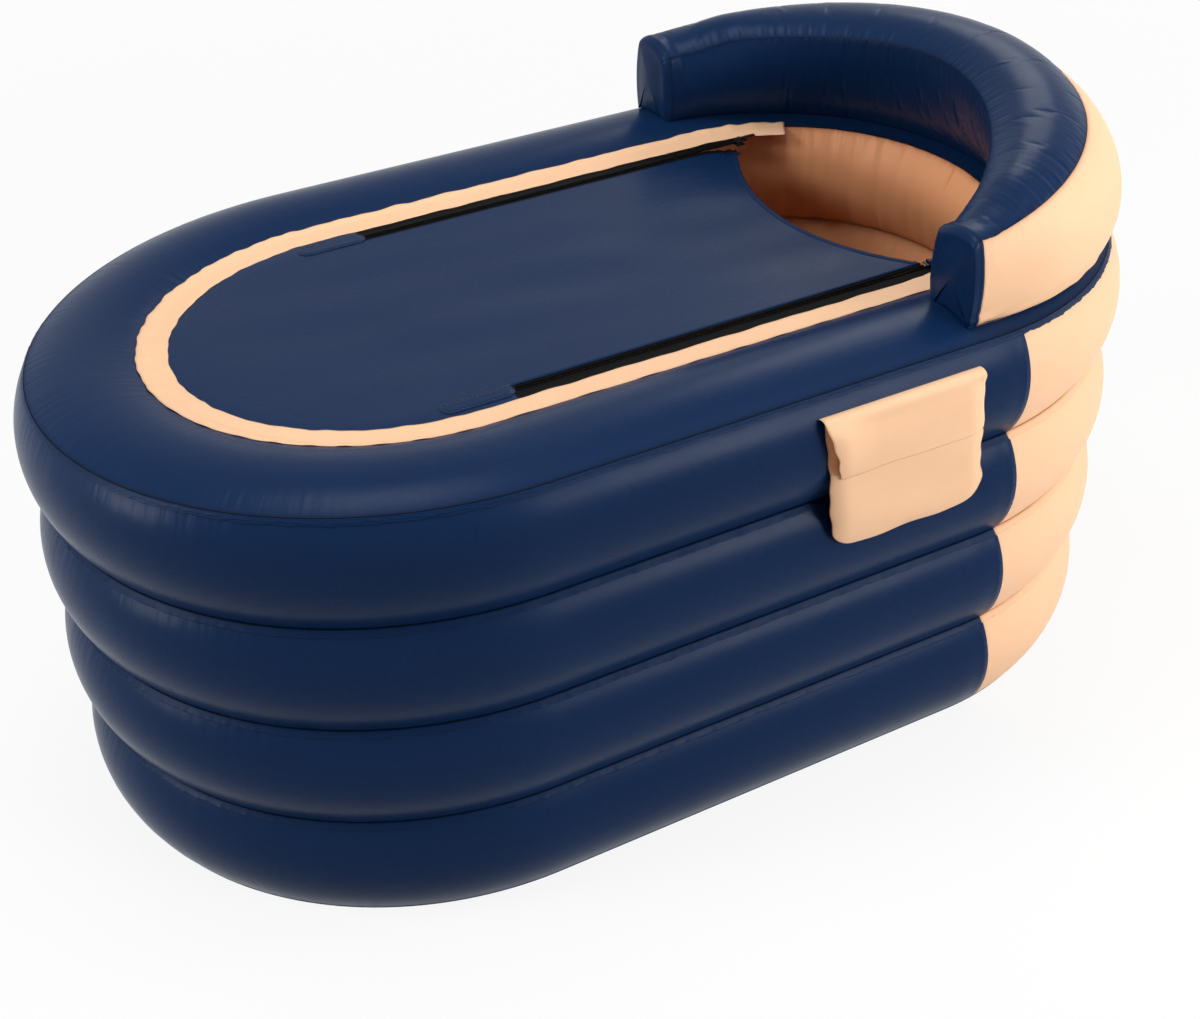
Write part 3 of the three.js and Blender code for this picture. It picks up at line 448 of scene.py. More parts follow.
def baked(name, tree, values, source=None):
    """The mesh that a tree makes from named inputs, as a plain object."""
    mesh = source or bpy.data.meshes.new(name + "_source")
    carrier = bpy.data.objects.new(name + "_carrier", mesh)
    bpy.context.scene.collection.objects.link(carrier)
    modifier = carrier.modifiers.new("tree", "NODES")
    modifier.node_group = tree
    sockets = {item.name: item.identifier for item in tree.interface.items_tree
               if item.item_type == "SOCKET" and item.in_out == "INPUT"}
    for key, value in values.items():
        modifier[sockets[key]] = value
    depsgraph = bpy.context.evaluated_depsgraph_get()
    result = bpy.data.meshes.new_from_object(carrier.evaluated_get(depsgraph))
    bpy.data.objects.remove(carrier)
    result.name = name
    made = bpy.data.objects.new(name, result)
    bpy.context.scene.collection.objects.link(made)
    return made


def points_of(mesh):
    points = np.zeros(len(mesh.vertices) * 3)
    mesh.vertices.foreach_get("co", points)
    return points.reshape(-1, 3)


def move_points(mesh, points):
    mesh.vertices.foreach_set("co", np.ascontiguousarray(points, dtype=np.float32).ravel())
    mesh.update()


@contextmanager
def edited(mesh):
    """A mesh open for bmesh operators."""
    work = bmesh.new()
    work.from_mesh(mesh)
    yield work
    work.to_mesh(mesh)
    work.free()


def close_up(thing, distance=0.00001):
    """Merges the points that meet, such as the two ends of a loop."""
    with edited(thing.data) as work:
        bmesh.ops.remove_doubles(work, verts=work.verts, dist=distance)


def cut_faces(mesh, inside):
    """Deletes the faces whose middle passes a test."""
    with edited(mesh) as work:
        gone = [face for face in work.faces if inside(face.calc_center_median())]
        bmesh.ops.delete(work, geom=gone, context="FACES")


def open_hole(thing, middle, radius):
    cut_faces(thing.data, lambda point: (point - middle).length < radius)


def middle_of(name):
    """The middle of a solid's box."""
    low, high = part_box(name)
    return (low + high) / 2


def face_towards(thing, outwards):
    """Turns a sheet over where it faces away from the direction that outwards gives at a point."""
    faces = thing.data.polygons
    sample = list(faces)[:: max(1, len(faces) // 400)]
    if sum(face.normal.dot(Vector(outwards(face.center))) * face.area for face in sample) < 0:
        thing.data.flip_normals()


def thicken(thing, thickness, reverse=None):
    """Gives a sheet its wall, away from the side that it faces; its reverse may have a finish of its own."""
    modifier = thing.modifiers.new("wall", "SOLIDIFY")
    if reverse:
        thing.data.materials.append(materials()[reverse])
        modifier.material_offset = 1
    modifier.thickness = thickness
    modifier.offset = -1.0
    modifier.use_even_offset = False
    depsgraph = bpy.context.evaluated_depsgraph_get()
    result = bpy.data.meshes.new_from_object(thing.evaluated_get(depsgraph))
    thing.modifiers.clear()
    old = thing.data
    thing.data = result
    result.name = thing.name
    bpy.data.meshes.remove(old)


def smooth(thing):
    for face in thing.data.polygons:
        face.use_smooth = True


def walled(thing, thickness, facing=None, reverse=None):
    """Finishes a sheet: the right way round where facing says it, with its wall, and smooth."""
    if facing:
        face_towards(thing, facing)
    thicken(thing, thickness, reverse)
    smooth(thing)
    return thing


def from_axis(point):
    """Away from the tub's middle line."""
    nearest = min(max(point[0], FOOT_CENTRE), HEAD_CENTRE)
    return (point[0] - nearest, point[1], 0.0)


def to_axis(point):
    x, y, z = from_axis(point)
    return (-x, -y, -z)


def upwards(_point):
    return (0.0, 0.0, 1.0)


def swept(name, material, steps_across, facing, spacing=None, **sizes):
    """A sheet round the outline; sizes use the tree's input names with underscores."""
    values = {"Gather reach": bpy.context.scene.tub_sheets.gather_reach}
    values.update({key.replace("_", " "): float(value) for key, value in sizes.items()})
    length = values["End"] - values["Start"]
    values["Steps along"] = max(8, round(length / (spacing or bpy.context.scene.tub_sheets.spacing)))
    values["Steps across"] = steps_across
    values["Material"] = materials()[material]
    made = baked(name, sweep_tree(), values)
    close_up(made)
    face_towards(made, facing)
    return made


def eased_step(share):
    share = np.clip(share, 0, 1)
    return share * share * (3 - 2 * share)


def seat_fitting(thing, place, level, hole):
    """Flattens the far side of a sheet round a fitting, and opens it for the fitting's neck."""
    x, z = place.x, place.z
    points = points_of(thing.data)
    apart = np.hypot(points[:, 0] - x, points[:, 2] - z)
    share = eased_step((FITTING_REACH * 1.9 - apart) / (FITTING_REACH * 0.9)) * (points[:, 1] > 0)
    points[:, 1] += (level - points[:, 1]) * share
    move_points(thing.data, points)
    cut_faces(thing.data, lambda point: point.y > 0 and math.hypot(point.x - x, point.z - z) < hole)


def give(thing, body, slot, *replaced):
    """Says what a finished piece rides on and which solids it stands for; its slot is not used."""
    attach(thing, body)
    if replaced:
        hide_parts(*replaced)
    return thing


def length_to(x, reach):
    """How far along the outline the head's curve of a reach comes down to x, past the head's centre."""
    return HEAD_ARC / 2 * (math.degrees(math.acos(x / reach)) / 90)


def sheet_note(mesh):
    """The sheet attribute: a row of three numbers for each point."""
    note = np.zeros(len(mesh.vertices) * 3)
    mesh.attributes["sheet"].data.foreach_get("vector", note)
    return note.reshape(-1, 3)


HEAD_SEAM = length_to(0.038, HEAD_REACH)
SEAM_LAP = 2.5 * MM
FITTING_REACH = 0.024
VALVE_HOLE, DRAIN_HOLE, STOPPER_HOLE = 0.013, 0.015, 0.0062
VALVE_RING, DRAIN_RING = 2, 0


class TUB_OT_wall_rings(bpy.types.Operator):
    """Builds the four air rings: navy sides and foot, peach head, and the lining"""

    bl_idname = "tub.wall_rings"
    bl_label = "Wall rings"

    def execute(self, context):
        sheets = context.scene.tub_sheets
        drain = middle_of("drain_cap")
        for ring in range(4):
            low, high = groove_inset(ring), groove_inset(ring + 1)
            section = {
                "Low_inset": low, "High_inset": high, "Bulge": (low + high) / 2 - RING_SETBACKS[ring],
                "Bottom": ring * RING_HEIGHT + (1.1 if ring == 0 else 0.3) * MM,
                "Top": (ring + 1) * RING_HEIGHT - 0.3 * MM, "Gather_depth": sheets.gather_depth,
            }
            side = swept(f"ring_{ring + 1}_side", "tub_navy_sheet", 30, from_axis, Seed=SEED + ring,
                         Start=HEAD_SEAM - SEAM_LAP, End=LOOP - HEAD_SEAM + SEAM_LAP, **section)
            lift_ends(side, HEAD_SEAM)
            level = HALF_WIDTH - RING_SETBACKS[ring]
            if ring == VALVE_RING:
                seat_fitting(side, middle_of("wall_valve_cap"), level, VALVE_HOLE)
            if ring == DRAIN_RING:
                seat_fitting(side, drain, level, DRAIN_HOLE)
            head = swept(f"ring_{ring + 1}_head", "tub_peach_sheet", 30, from_axis, Seed=SEED + 10 + ring,
                         Start=-HEAD_SEAM, End=HEAD_SEAM, **section)
            section.update(Low_inset=LINING_INSET, High_inset=LINING_INSET, Bulge=-LINING_BULGE,
                           Gather_depth=sheets.gather_depth * 6.5, Gather_reach=0.045)
            # The lining takes the deeper lining colour: painted shade inside the tub
            liner = swept(f"ring_{ring + 1}_lining", "tub_peach_in_shade_sheet", 20, to_axis, Seed=SEED + 20 + ring,
                          Start=0.0, End=LOOP, **section)
            if ring == DRAIN_RING:
                seat_fitting(liner, drain, HALF_WIDTH - LINING_INSET - LINING_BULGE, DRAIN_HOLE)
            for piece, node in ((side, "outer"), (head, "head"), (liner, "liner")):
                walled(piece, sheets.thickness)
                colour = "navy_pvc" if node == "outer" else "peach_pvc"
                give(piece, "tub", colour, f"{node}_band_{ring + 1}")
        return {"FINISHED"}


def lift_ends(thing, seam):
    """Lays the navy sheet's two ends over the peach one at the colour seams."""
    points = points_of(thing.data)
    along = sheet_note(thing.data)[:, 0]
    share = np.clip(1 - np.minimum(along - seam, LOOP - seam - along) / 0.009, 0, 1)
    x = points[:, 0] - np.clip(points[:, 0], FOOT_CENTRE, HEAD_CENTRE)
    away = np.stack([x, points[:, 1]], 1)
    away /= np.linalg.norm(away, axis=1)[:, None]
    points[:, :2] += away * (share * 0.0011)[:, None]
    move_points(thing.data, points)


class TUB_OT_rim(bpy.types.Operator):
    """Builds the domed rim sheet, the welded edges of the rings, and the flat base"""

    bl_idname = "tub.rim"
    bl_label = "Rim, welds and base"

    def execute(self, context):
        sheets = context.scene.tub_sheets
        rim = swept("rim_sheet", "tub_navy_sheet", 28, upwards, Seed=SEED + 40, Start=0.0, End=LOOP,
                    Low_inset=RIM_OUTER, High_inset=RIM_INNER, Bottom=COVER_TOP,
                    Top=COVER_TOP, Crown=RIM_CROWN, Gather_depth=sheets.gather_depth)
        give(walled(rim, sheets.thickness), "tub", "navy_pvc", "rim_top_sheet")

        for layer, (reach, ragged, lift) in enumerate(((0.0034, 0.50, 0.0011), (0.0058, 0.16, 0.0004))):
            edge = welded_edge(f"rim_weld_{layer + 1}", "tub_navy_sheet", 3, 0.0, LOOP, reach, ragged,
                               lift, SEED + 41 + layer)
            give(edge, "tub", "navy_pvc")
        for ring in range(3):
            for name, material, slot, start, end in (
                ("ring", "tub_navy_sheet", "navy_pvc", HEAD_SEAM, LOOP - HEAD_SEAM),
                ("head", "tub_peach_sheet", "peach_pvc", -HEAD_SEAM, HEAD_SEAM),
            ):
                weld = welded_edge(f"{name}_weld_{ring + 1}", material, ring, start, end, sheets.flange,
                                   0.10, 0.0019, SEED + 50 + ring)
                give(weld, "tub", slot)
        base = disc_sheet("base_panel", groove_inset(0), 0.8 * MM, 0.8 * MM)
        give(base, "tub", "navy_pvc", "base_sheet")
        for level in (1, 2, 3):
            web = holed_web(f"tension_sheet_{level}", level)
            give(web, "tub", "peach_pvc", f"chamber_web_{level}")
        return {"FINISHED"}


def holed_web(name, level):
    """The flat sheet between two rings, with the holes that let them fill together."""
    outer = groove_inset(level)
    along = np.linspace(0, LOOP, round(LOOP / 0.006), endpoint=False)
    insets = np.linspace(outer + 0.003, RIM_INNER - 0.0005, 20)
    net = np.stack([outline_at(along, np.full_like(along, inset)) for inset in insets], 1)
    count, wide = net.shape[:2]
    flat = net.reshape(-1, 2)
    faces = grid_faces(count, wide, closed=True)
    middle_y, radius = HALF_WIDTH - (outer + RIM_INNER) / 2, 0.015
    for x, y in ((-0.060, -1), (0.060, -1), (-0.060, 1), (0.060, 1)):
        hole = np.array([x, y * middle_y])
        faces = [face for face in faces if np.linalg.norm(flat[list(face)].mean(axis=0) - hole) > radius]
        away = flat - hole
        apart = np.linalg.norm(away, axis=1)
        near = apart < radius + 0.0022
        flat[near] = hole + away[near] / np.maximum(apart[near], 1e-9)[:, None] * radius
    points = np.c_[flat, np.full(len(flat), level * RING_HEIGHT + 0.25 * MM)]
    made = mesh_object(name, points, faces, "tub_peach_in_shade_sheet")
    with edited(made.data) as work:
        bmesh.ops.delete(work, geom=[v for v in work.verts if not v.link_faces], context="VERTS")
    return walled(made, 0.0005, upwards)


def dress_node(name, material):
    """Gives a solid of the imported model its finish."""
    mesh = nodes[name].data
    mesh.materials.clear()
    mesh.materials.append(materials()[material])


def outline_at(along, inset):
    """Places on the outline at distances from the middle of the head, drawn in by an inset."""
    half = HEAD_ARC / 2
    head = np.clip(along / HEAD_ARC, -0.5, 0.5)
    foot = np.clip((along - half - STRAIGHT) / FOOT_ARC, 0, 1)
    home = np.clip((along - half - 2 * STRAIGHT - FOOT_ARC) / HEAD_ARC, 0, 0.5)
    turn = math.pi * (head + foot + home)
    out = np.clip((along - half) / STRAIGHT, 0, 1)
    back = np.clip((along - half - STRAIGHT - FOOT_ARC) / STRAIGHT, 0, 1)
    centre = HEAD_CENTRE - STRAIGHT * (out - back)
    reach = np.where(np.cos(turn) > 0, HEAD_REACH, FOOT_REACH)
    return np.stack([centre + (reach - inset) * np.cos(turn), (HALF_WIDTH - inset) * np.sin(turn)], -1)


def outline_points(inset, count):
    return outline_at(np.linspace(0, LOOP, count, endpoint=False), inset)


def drawn_in(outline, share, low=FOOT_CENTRE, high=HEAD_CENTRE):
    """An outline drawn in towards its middle line: share 1 is the outline, and 0 the line."""
    spine = np.stack([np.clip(outline[:, 0], low, high), 0 * outline[:, 1]], 1)
    return spine + (outline - spine) * share


def ring_surface(ring, height):
    """How far a ring's outside lies inside the outline at a height."""
    low, high = groove_inset(ring), groove_inset(ring + 1)
    share = np.clip((height - ring * RING_HEIGHT) / RING_HEIGHT, 0, 1)
    bulge = (low + high) / 2 - RING_SETBACKS[ring]
    return low + (high - low) * share - arc_rise(share, math.hypot(high - low, RING_HEIGHT), bulge)


def wandering(along, lengths, seed):
    """An uneven line between about -1 and 1 that closes on itself round the tub."""
    rng = np.random.default_rng(seed)
    line = np.zeros_like(along)
    for length in lengths:
        turns = max(1, round(LOOP / length))
        line += rng.uniform(0.6, 1.0) * np.sin(2 * math.pi * turns * along / LOOP + rng.uniform(0, 6.28))
    return line / (0.55 * len(lengths) + 0.35)


def welded_edge(name, material, ring, start, end, reach, ragged, lift, seed):
    """The trimmed edge of a weld, lying down over the top of a ring."""
    along = np.linspace(start, end, max(20, round((end - start) / 0.0026)))
    rag = wandering(along, (0.0094, 0.0143, 0.023, 0.041, 0.11), seed)
    stand = wandering(along, (0.012, 0.019, 0.033, 0.07), seed + 1)
    top = (ring + 1) * RING_HEIGHT
    rows = []
    for share, proud in ((0.0, 0.0), (0.22, 0.25), (0.55, 0.4), (0.82, 1.0), (0.94, 1.0), (1.0, 0.45)):
        drop = reach * (1 + ragged * rag * share) * share
        height = top - drop + (0.0004 if share == 0 else 0)
        inset = ring_surface(ring, height) - 0.0006 - lift * proud * (0.65 + 0.35 * stand)
        rows.append(np.concatenate([outline_at(along, inset), height[:, None]], 1))
    net = np.stack(rows, 1)
    count, wide = net.shape[:2]
    # The flange's top and lower edges count as close to the seam, so the finish paints dark lines there:
    # painted shade under the flange
    made = mesh_object(name, net.reshape(-1, 3), grid_faces(count, wide), material,
                       np.repeat(along, wide), np.tile((0.0004, 0.003, 0.006, 0.006, 0.004, 0.0012), count))
    close_up(made)
    return walled(made, 0.0005, from_axis)


def disc_sheet(name, inset, top, thickness):
    """A flat sheet that fills the outline, its grid drawn in towards the middle line."""
    count, rings = 260, 14
    outline = outline_points(inset, count)
    rows = [np.c_[drawn_in(outline, 1 - k / rings), np.full(count, top)] for k in range(rings + 1)]
    points = np.concatenate(rows)
    made = mesh_object(name, points, loop_faces(rings, count), "tub_navy_sheet")
    close_up(made)
    return walled(made, thickness, upwards)


def mesh_object(name, points, faces, material, along=None, from_seam=None, gathers=None):
    """A plain mesh with the sheet attribute that its finish reads."""
    mesh = bpy.data.meshes.new(name)
    mesh.from_pydata([tuple(p) for p in points], [], faces)
    mesh.validate()
    count = len(points)
    note = np.zeros((count, 3), np.float32)
    note[:, 0] = 0 if along is None else along
    note[:, 1] = 1 if from_seam is None else from_seam
    note[:, 2] = 0 if gathers is None else gathers
    attribute = mesh.attributes.new("sheet", "FLOAT_VECTOR", "POINT")
    attribute.data.foreach_set("vector", note.ravel())
    mesh.materials.append(materials()[material])
    made = bpy.data.objects.new(name, mesh)
    bpy.context.scene.collection.objects.link(made)
    return made


def loop_faces(rings, count):
    """Faces between closed rows of points, from the outermost row inwards."""
    return [
        (k * count + i, k * count + (i + 1) % count, (k + 1) * count + (i + 1) % count, (k + 1) * count + i)
        for k in range(rings) for i in range(count)
    ]


def grid_faces(rows, columns, closed=False):
    """Faces of a net that is stored row by row."""
    last = rows if closed else rows - 1
    return [
        (r * columns + c, ((r + 1) % rows) * columns + c,
         ((r + 1) % rows) * columns + c + 1, r * columns + c + 1)
        for r in range(last) for c in range(columns - 1)
    ]


# Backrest cushion


def arc_rise(share, chord, rise):
    """How high an arc stands over its chord at a share of the chord."""
    radius = (chord * chord / 4 + rise * rise) / (2 * rise)
    along = chord * (share - 0.5)
    return np.sqrt(radius * radius - along * along) - (radius - rise)


def rim_top(inset):
    """Height of the rim sheet at an inset."""
    width = RIM_INNER - RIM_OUTER
    return COVER_TOP + arc_rise((inset - RIM_OUTER) / width, width, RIM_CROWN)


def blend_of(low, high, share):
    return low + (high - low) * share


def eased(count):
    """Shares from 0 to 1 that lie closer together at both ends."""
    return 0.5 - 0.5 * np.cos(np.linspace(0, math.pi, count))


# The points of a section go round the outside, the top, the inside and the base
OUTSIDE, TOP_PANEL, BASE = 0, 1, 3
PANEL_OF = np.repeat(range(4), (25, 25, 21, 8))
OUTER_SEAM, INNER_SEAM, INNER_FOOT = 25, 50, 71
SEAMS = (0, OUTER_SEAM, INNER_SEAM, INNER_FOOT)


def cushion_section(angle, boxy):
    """The closed section at one station as (inset, height) pairs; boxy is 1 at an arm's end."""
    at_arm, at_back = abs(angle / 90) ** 3, math.cos(math.radians(angle))
    outer_foot, inner_foot = blend_of(0.030, 0.040, at_arm), blend_of(0.132, 0.117, at_arm)
    outer_seam, inner_seam = blend_of(0.066, 0.044, at_arm), blend_of(0.190, 0.104, at_arm)
    inner_seam += 0.009 * boxy
    seam_height = blend_of(RIM_HEIGHT + 0.116, HIGH.z - 0.026, at_back)
    crown = blend_of(0.015, 0.026 - 0.0003, at_back)
    crown = blend_of(crown, 0.0085, boxy)
    hollow = blend_of(0.013, 0.005, boxy)
    bulge = blend_of(blend_of(0.032, 0.010, at_arm), 0.007, boxy)
    foot_height, inner_height = rim_top(outer_foot) + 0.0005, rim_top(inner_foot) + 0.0005
    outer, top, inner, base = eased(26), eased(26), eased(22), np.linspace(0, 1, 9)
    chord = math.hypot(outer_seam - outer_foot, seam_height - foot_height)
    wall = np.stack([blend_of(outer_foot, outer_seam, outer) - arc_rise(outer, chord, bulge),
                     blend_of(foot_height, seam_height, outer)], 1)
    width = inner_seam - outer_seam
    inner_top = seam_height - 0.011 * boxy
    roof = np.stack([blend_of(outer_seam, inner_seam, top),
                     blend_of(seam_height, inner_top, top) + arc_rise(top, width, crown)], 1)
    chord = math.hypot(inner_seam - inner_foot, inner_top - inner_height)
    face = np.stack([blend_of(inner_seam, inner_foot, inner) + arc_rise(inner, chord, hollow),
                     blend_of(inner_top, inner_height, inner)], 1)
    inset = blend_of(inner_foot, outer_foot, base)
    under = np.stack([inset, rim_top(inset) + 0.0004], 1)
    return np.concatenate([wall[:-1], roof[:-1], face[:-1], under[:-1]])


class TUB_OT_backrest(bpy.types.Operator):
    """Builds the C-shaped air cushion: peach outside, navy top, inside and arm ends"""

    bl_idname = "tub.backrest"
    bl_label = "Backrest cushion"

    def execute(self, context):
        sizes = context.scene.tub_cushion
        net, angles = self.stations(sizes.end_round)
        # Metres along the outer seam, and metres round each section
        spread = np.linalg.norm(np.diff(net[:, OUTER_SEAM - 1], axis=0), axis=1)
        line = np.concatenate([[0.0], np.cumsum(spread)])
        steps = np.linalg.norm(np.diff(np.concatenate([net, net[:, :1]], 1), axis=1), axis=2)
        run = np.concatenate([np.zeros((len(net), 1)), np.cumsum(steps, 1)], 1)
        places = run[:, :-1]
        nearest = np.full(places.shape, 1.0)
        for k in SEAMS:
            away = np.abs(places - places[:, k:k + 1])
            nearest = np.minimum(nearest, np.minimum(away, run[:, -1:] - away))
        strength = self.strength(angles, line)
        swell = self.gathers(sizes.gather_depth, angles, line, places, strength)
        swell -= 0.0012 * np.exp(-nearest / 0.0022) * (PANEL_OF != BASE)
        net = net + net_normals(net) * swell[:, :, None]
        self.panels(context, net, line, nearest, strength)
        return {"FINISHED"}

    def stations(self, rounding):
        """The net of smooth sections from arm end to arm end, and each section's angle round the head."""
        head_steps, arm_steps = 380, 5
        arm_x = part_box("backrest_top_panel")[0].x
        angles = np.concatenate([
            np.full(arm_steps, -90.0), np.linspace(-90, 90, head_steps), np.full(arm_steps, 90.0)])
        shift = np.concatenate([
            np.linspace(arm_x + rounding, HEAD_CENTRE, arm_steps, endpoint=False) - HEAD_CENTRE,
            np.zeros(head_steps),
            np.linspace(HEAD_CENTRE, arm_x + rounding, arm_steps + 1)[1:] - HEAD_CENTRE])
        rows = []
        for angle, back in zip(angles, shift):
            from_end = back + HEAD_CENTRE - arm_x - rounding + math.radians(90 - abs(angle)) * HALF_WIDTH
            loop = cushion_section(angle, float(eased_step(1 - from_end / 0.13)))
            turn = math.radians(angle)
            x = HEAD_CENTRE + back + (HEAD_REACH - loop[:, 0]) * math.cos(turn)
            y = (HALF_WIDTH - loop[:, 0]) * math.sin(turn)
            rows.append(np.stack([x, y, loop[:, 1]], 1))
        return np.array(rows), angles

    def strength(self, angles, line):
        """How strong the gathers are at each section, most on the near arm's shoulder."""
        degrees = np.abs(angles)
        strength = 0.22 + 0.78 * np.exp(-((degrees - 66) / 22.0) ** 2)
        strength *= np.where(angles < 0, 1.0, 0.38) * np.clip((92 - degrees) / 10, 0.15, 1)
        return strength * (
            0.30 + 0.70 * np.clip(0.55 + 0.75 * np.sin(line * 13 + 1.6 * np.sin(line * 5.3)), 0, 1))

    def gathers(self, deepest, angles, line, places, strength):
        """How far the gathers, which run away from the top seams, stand off the smooth net."""
        rng = np.random.default_rng(SEED)
        fine = np.zeros(len(line))
        for length in (0.0098, 0.0127, 0.0161, 0.0213, 0.034):
            fine += rng.uniform(0.5, 1.0) * np.sin(2 * math.pi * line / length + rng.uniform(0, 6.28)
                                                  + 1.7 * np.sin(line * 31 + rng.uniform(0, 6.28)))
        fine /= 3.2
        on_top, on_outer = PANEL_OF == TOP_PANEL, PANEL_OF == OUTSIDE
        from_outer = np.abs(places - places[:, OUTER_SEAM:OUTER_SEAM + 1])
        from_inner = np.abs(places - places[:, INNER_SEAM:INNER_SEAM + 1])
        depth = deepest * fine[:, None] * strength[:, None]
        fall = np.exp(-from_outer / 0.020) * np.clip(from_outer / 0.003, 0, 1)
        swell = depth * fall * (on_top * 1.0 + on_outer * 0.28)
        fall = np.exp(-from_inner / 0.010) * np.clip(from_inner / 0.003, 0, 1)
        swell += 0.35 * deepest * np.roll(fine, 60)[:, None] * fall
        # A welded crease runs along the peach panel's foot on the near side
        crease = 0.0017 * np.exp(-((places - 0.0085) / 0.0028) ** 2)
        crease -= 0.0010 * np.exp(-((places - 0.0135) / 0.0030) ** 2)
        near_side = np.clip((-20 - angles) / 30, 0, 1)[:, None] * (1 + 0.35 * np.sin(line * 130)[:, None])
        return swell + crease * near_side * on_outer

    def panels(self, context, net, line, nearest, strength):
        """Closes the arms' ends, lets the air in, and parts the whole into a peach and a navy sheet."""
        sizes = context.scene.tub_cushion
        wide = net.shape[1]
        start, finish = (arm_cap(net[row], sizes.end_round) for row in (0, -1))
        whole = [*start[::-1], *net, *finish]
        cap, count = len(start), len(whole)
        points = np.concatenate(whole)
        peach, navy = [], []
        for r in range(count - 1):
            for c in range(wide):
                d = (c + 1) % wide
                quad = (r * wide + c, (r + 1) * wide + c, (r + 1) * wide + d, r * wide + d)
                in_cap = r < cap or r >= count - 1 - cap
                (peach if PANEL_OF[c] == OUTSIDE and not in_cap else navy).append(quad)
        navy.append(tuple(range(wide)))
        navy.append(tuple((count - 1) * wide + k for k in range(wide - 1, -1, -1)))
        held = np.zeros((count, wide))
        held[:cap] = held[-cap:] = 1.0
        held[:, SEAMS] = 1.0
        held[:, INNER_FOOT:] = 1.0
        points = blown_up(points, peach + navy, held.ravel(), sizes.swell)
        extra = cap * wide
        run_along = np.concatenate([np.full(extra, -1.0), np.repeat(line, wide), np.full(extra, 9.0)])
        # The finish darkens the sheet near the seams and the cap's first rows as painted shade
        capped = np.full((cap, wide), 0.05)
        capped[0] = 0.0
        capped[1:2] = 0.004
        from_seam = np.concatenate([capped[::-1].ravel(), nearest.ravel(), capped.ravel()])
        drawn = np.clip(np.repeat(strength, wide), 0, 1)
        gathers = np.concatenate([np.zeros(extra), drawn, np.zeros(extra)])
        for name, faces, material, slot, replaced in (
            ("cushion_outside", peach, "tub_peach_sheet", "peach_pvc", ("backrest_outer_panel",)),
            ("cushion_navy", navy, "tub_navy_sheet", "navy_pvc",
             ("backrest_top_panel", "backrest_inner_panel", "backrest_base_panel",
              "backrest_near_end_panel", "backrest_far_end_panel")),
        ):
            used = sorted({k for face in faces for k in face})
            order = {k: i for i, k in enumerate(used)}
            piece = mesh_object(
                name, points[used], [tuple(order[k] for k in face) for face in faces], material,
                run_along[used], from_seam[used], gathers[used])
            close_up(piece, 0.000001)
            orient(piece)
            if slot == "peach_pvc":
                open_hole(piece, middle_of("backrest_valve_stem"), STOPPER_HOLE)
            walled(piece, context.scene.tub_sheets.thickness)
            give(piece, "tub", slot, *replaced)


AIR_FRAMES = 16


def blown_up(points, faces, held, swell):
    """The cushion's sheet under air pressure: its seams hold, and the longer cloth between them puckers."""
    mesh = bpy.data.meshes.new("cushion_air")
    mesh.from_pydata([tuple(p) for p in points], [], faces)
    body = bpy.data.objects.new("cushion_air", mesh)
    bpy.context.scene.collection.objects.link(body)
    group = body.vertex_groups.new(name="held")
    group.add([int(k) for k in np.nonzero(held)[0]], 1.0, "REPLACE")
    cloth = body.modifiers.new("air", "CLOTH")
    settings = cloth.settings
    settings.quality = 5
    settings.mass = 0.2
    settings.tension_stiffness = settings.compression_stiffness = 30
    settings.shear_stiffness = 8
    settings.bending_stiffness = 0.6
    settings.use_pressure = True
    settings.uniform_pressure_force = 9
    settings.shrink_min = settings.shrink_max = -0.0035
    settings.vertex_group_mass = "held"
    settings.effector_weights.gravity = 0
    cloth.collision_settings.use_collision = False
    scene = bpy.context.scene
    for number in range(1, AIR_FRAMES + 1):
        scene.frame_set(number)
    result = body.evaluated_get(bpy.context.evaluated_depsgraph_get()).to_mesh()
    moved = points_of(result)
    scene.frame_set(1)
    bpy.data.objects.remove(body)
    shift = moved - points
    length = np.linalg.norm(shift, axis=1)
    shift *= np.minimum(1, swell / np.maximum(length, 1e-9))[:, None]
    return points + shift


def net_normals(net):
    """Outward normals of a net whose rows are closed sections."""
    along = np.gradient(net, axis=0)
    across = np.roll(net, -1, axis=1) - np.roll(net, 1, axis=1)
    normals = np.cross(along, across)
    normals /= np.maximum(np.linalg.norm(normals, axis=2), 1e-12)[:, :, None]
    middle = net.mean(axis=1, keepdims=True)
    sign = np.sign(((net - middle) * normals).sum())
    return normals * sign


def arm_cap(loop, rounding, steps=7):
    """Rows that round an arm's end off and close it, from the last station outwards."""
    low, high = loop.min(axis=0), loop.max(axis=0)
    outer = high[1] if high[1] > 0 else low[1]
    anchor = np.array([0, outer, low[2]])
    wide, tall = high[1] - low[1], high[2] - low[2]
    rows = []
    # The inner and top edges are rounded, and the seam to the peach panel is sharp
    for k in range(1, steps + 1):
        turn = k / steps * math.pi / 2
        drawn = rounding * (1 - math.cos(turn))
        row = anchor + (loop - anchor) * (1, 1 - drawn / wide, 1 - 0.8 * drawn / tall)
        row[:, 0] = loop[:, 0] - rounding * math.sin(turn)
        rows.append(row)
    edge = rows[-1]
    low, high = edge.min(axis=0), edge.max(axis=0)
    middle = (low + high) / 2
    for share in (0.90, 0.76, 0.60, 0.42, 0.22, 0.04):
        row = middle + (edge - middle) * share
        apart = np.linalg.norm(row[:, None, 1:] - edge[None, :, 1:], axis=2).min(axis=1)
        row[:, 0] = edge[:, 0] - 0.0045 * (1 - np.exp(-((apart / 0.020) ** 2)))
        rows.append(row)
    return rows


def orient(thing):
    """Makes the faces agree, then turns the sheet so that the cushion's outside faces out."""
    with edited(thing.data) as work:
        bmesh.ops.recalc_face_normals(work, faces=work.faces)
    faces = thing.data.polygons
    if sum(face.normal.dot(face.center - cushion_spine(face.center)) * face.area for face in faces) < 0:
        thing.data.flip_normals()


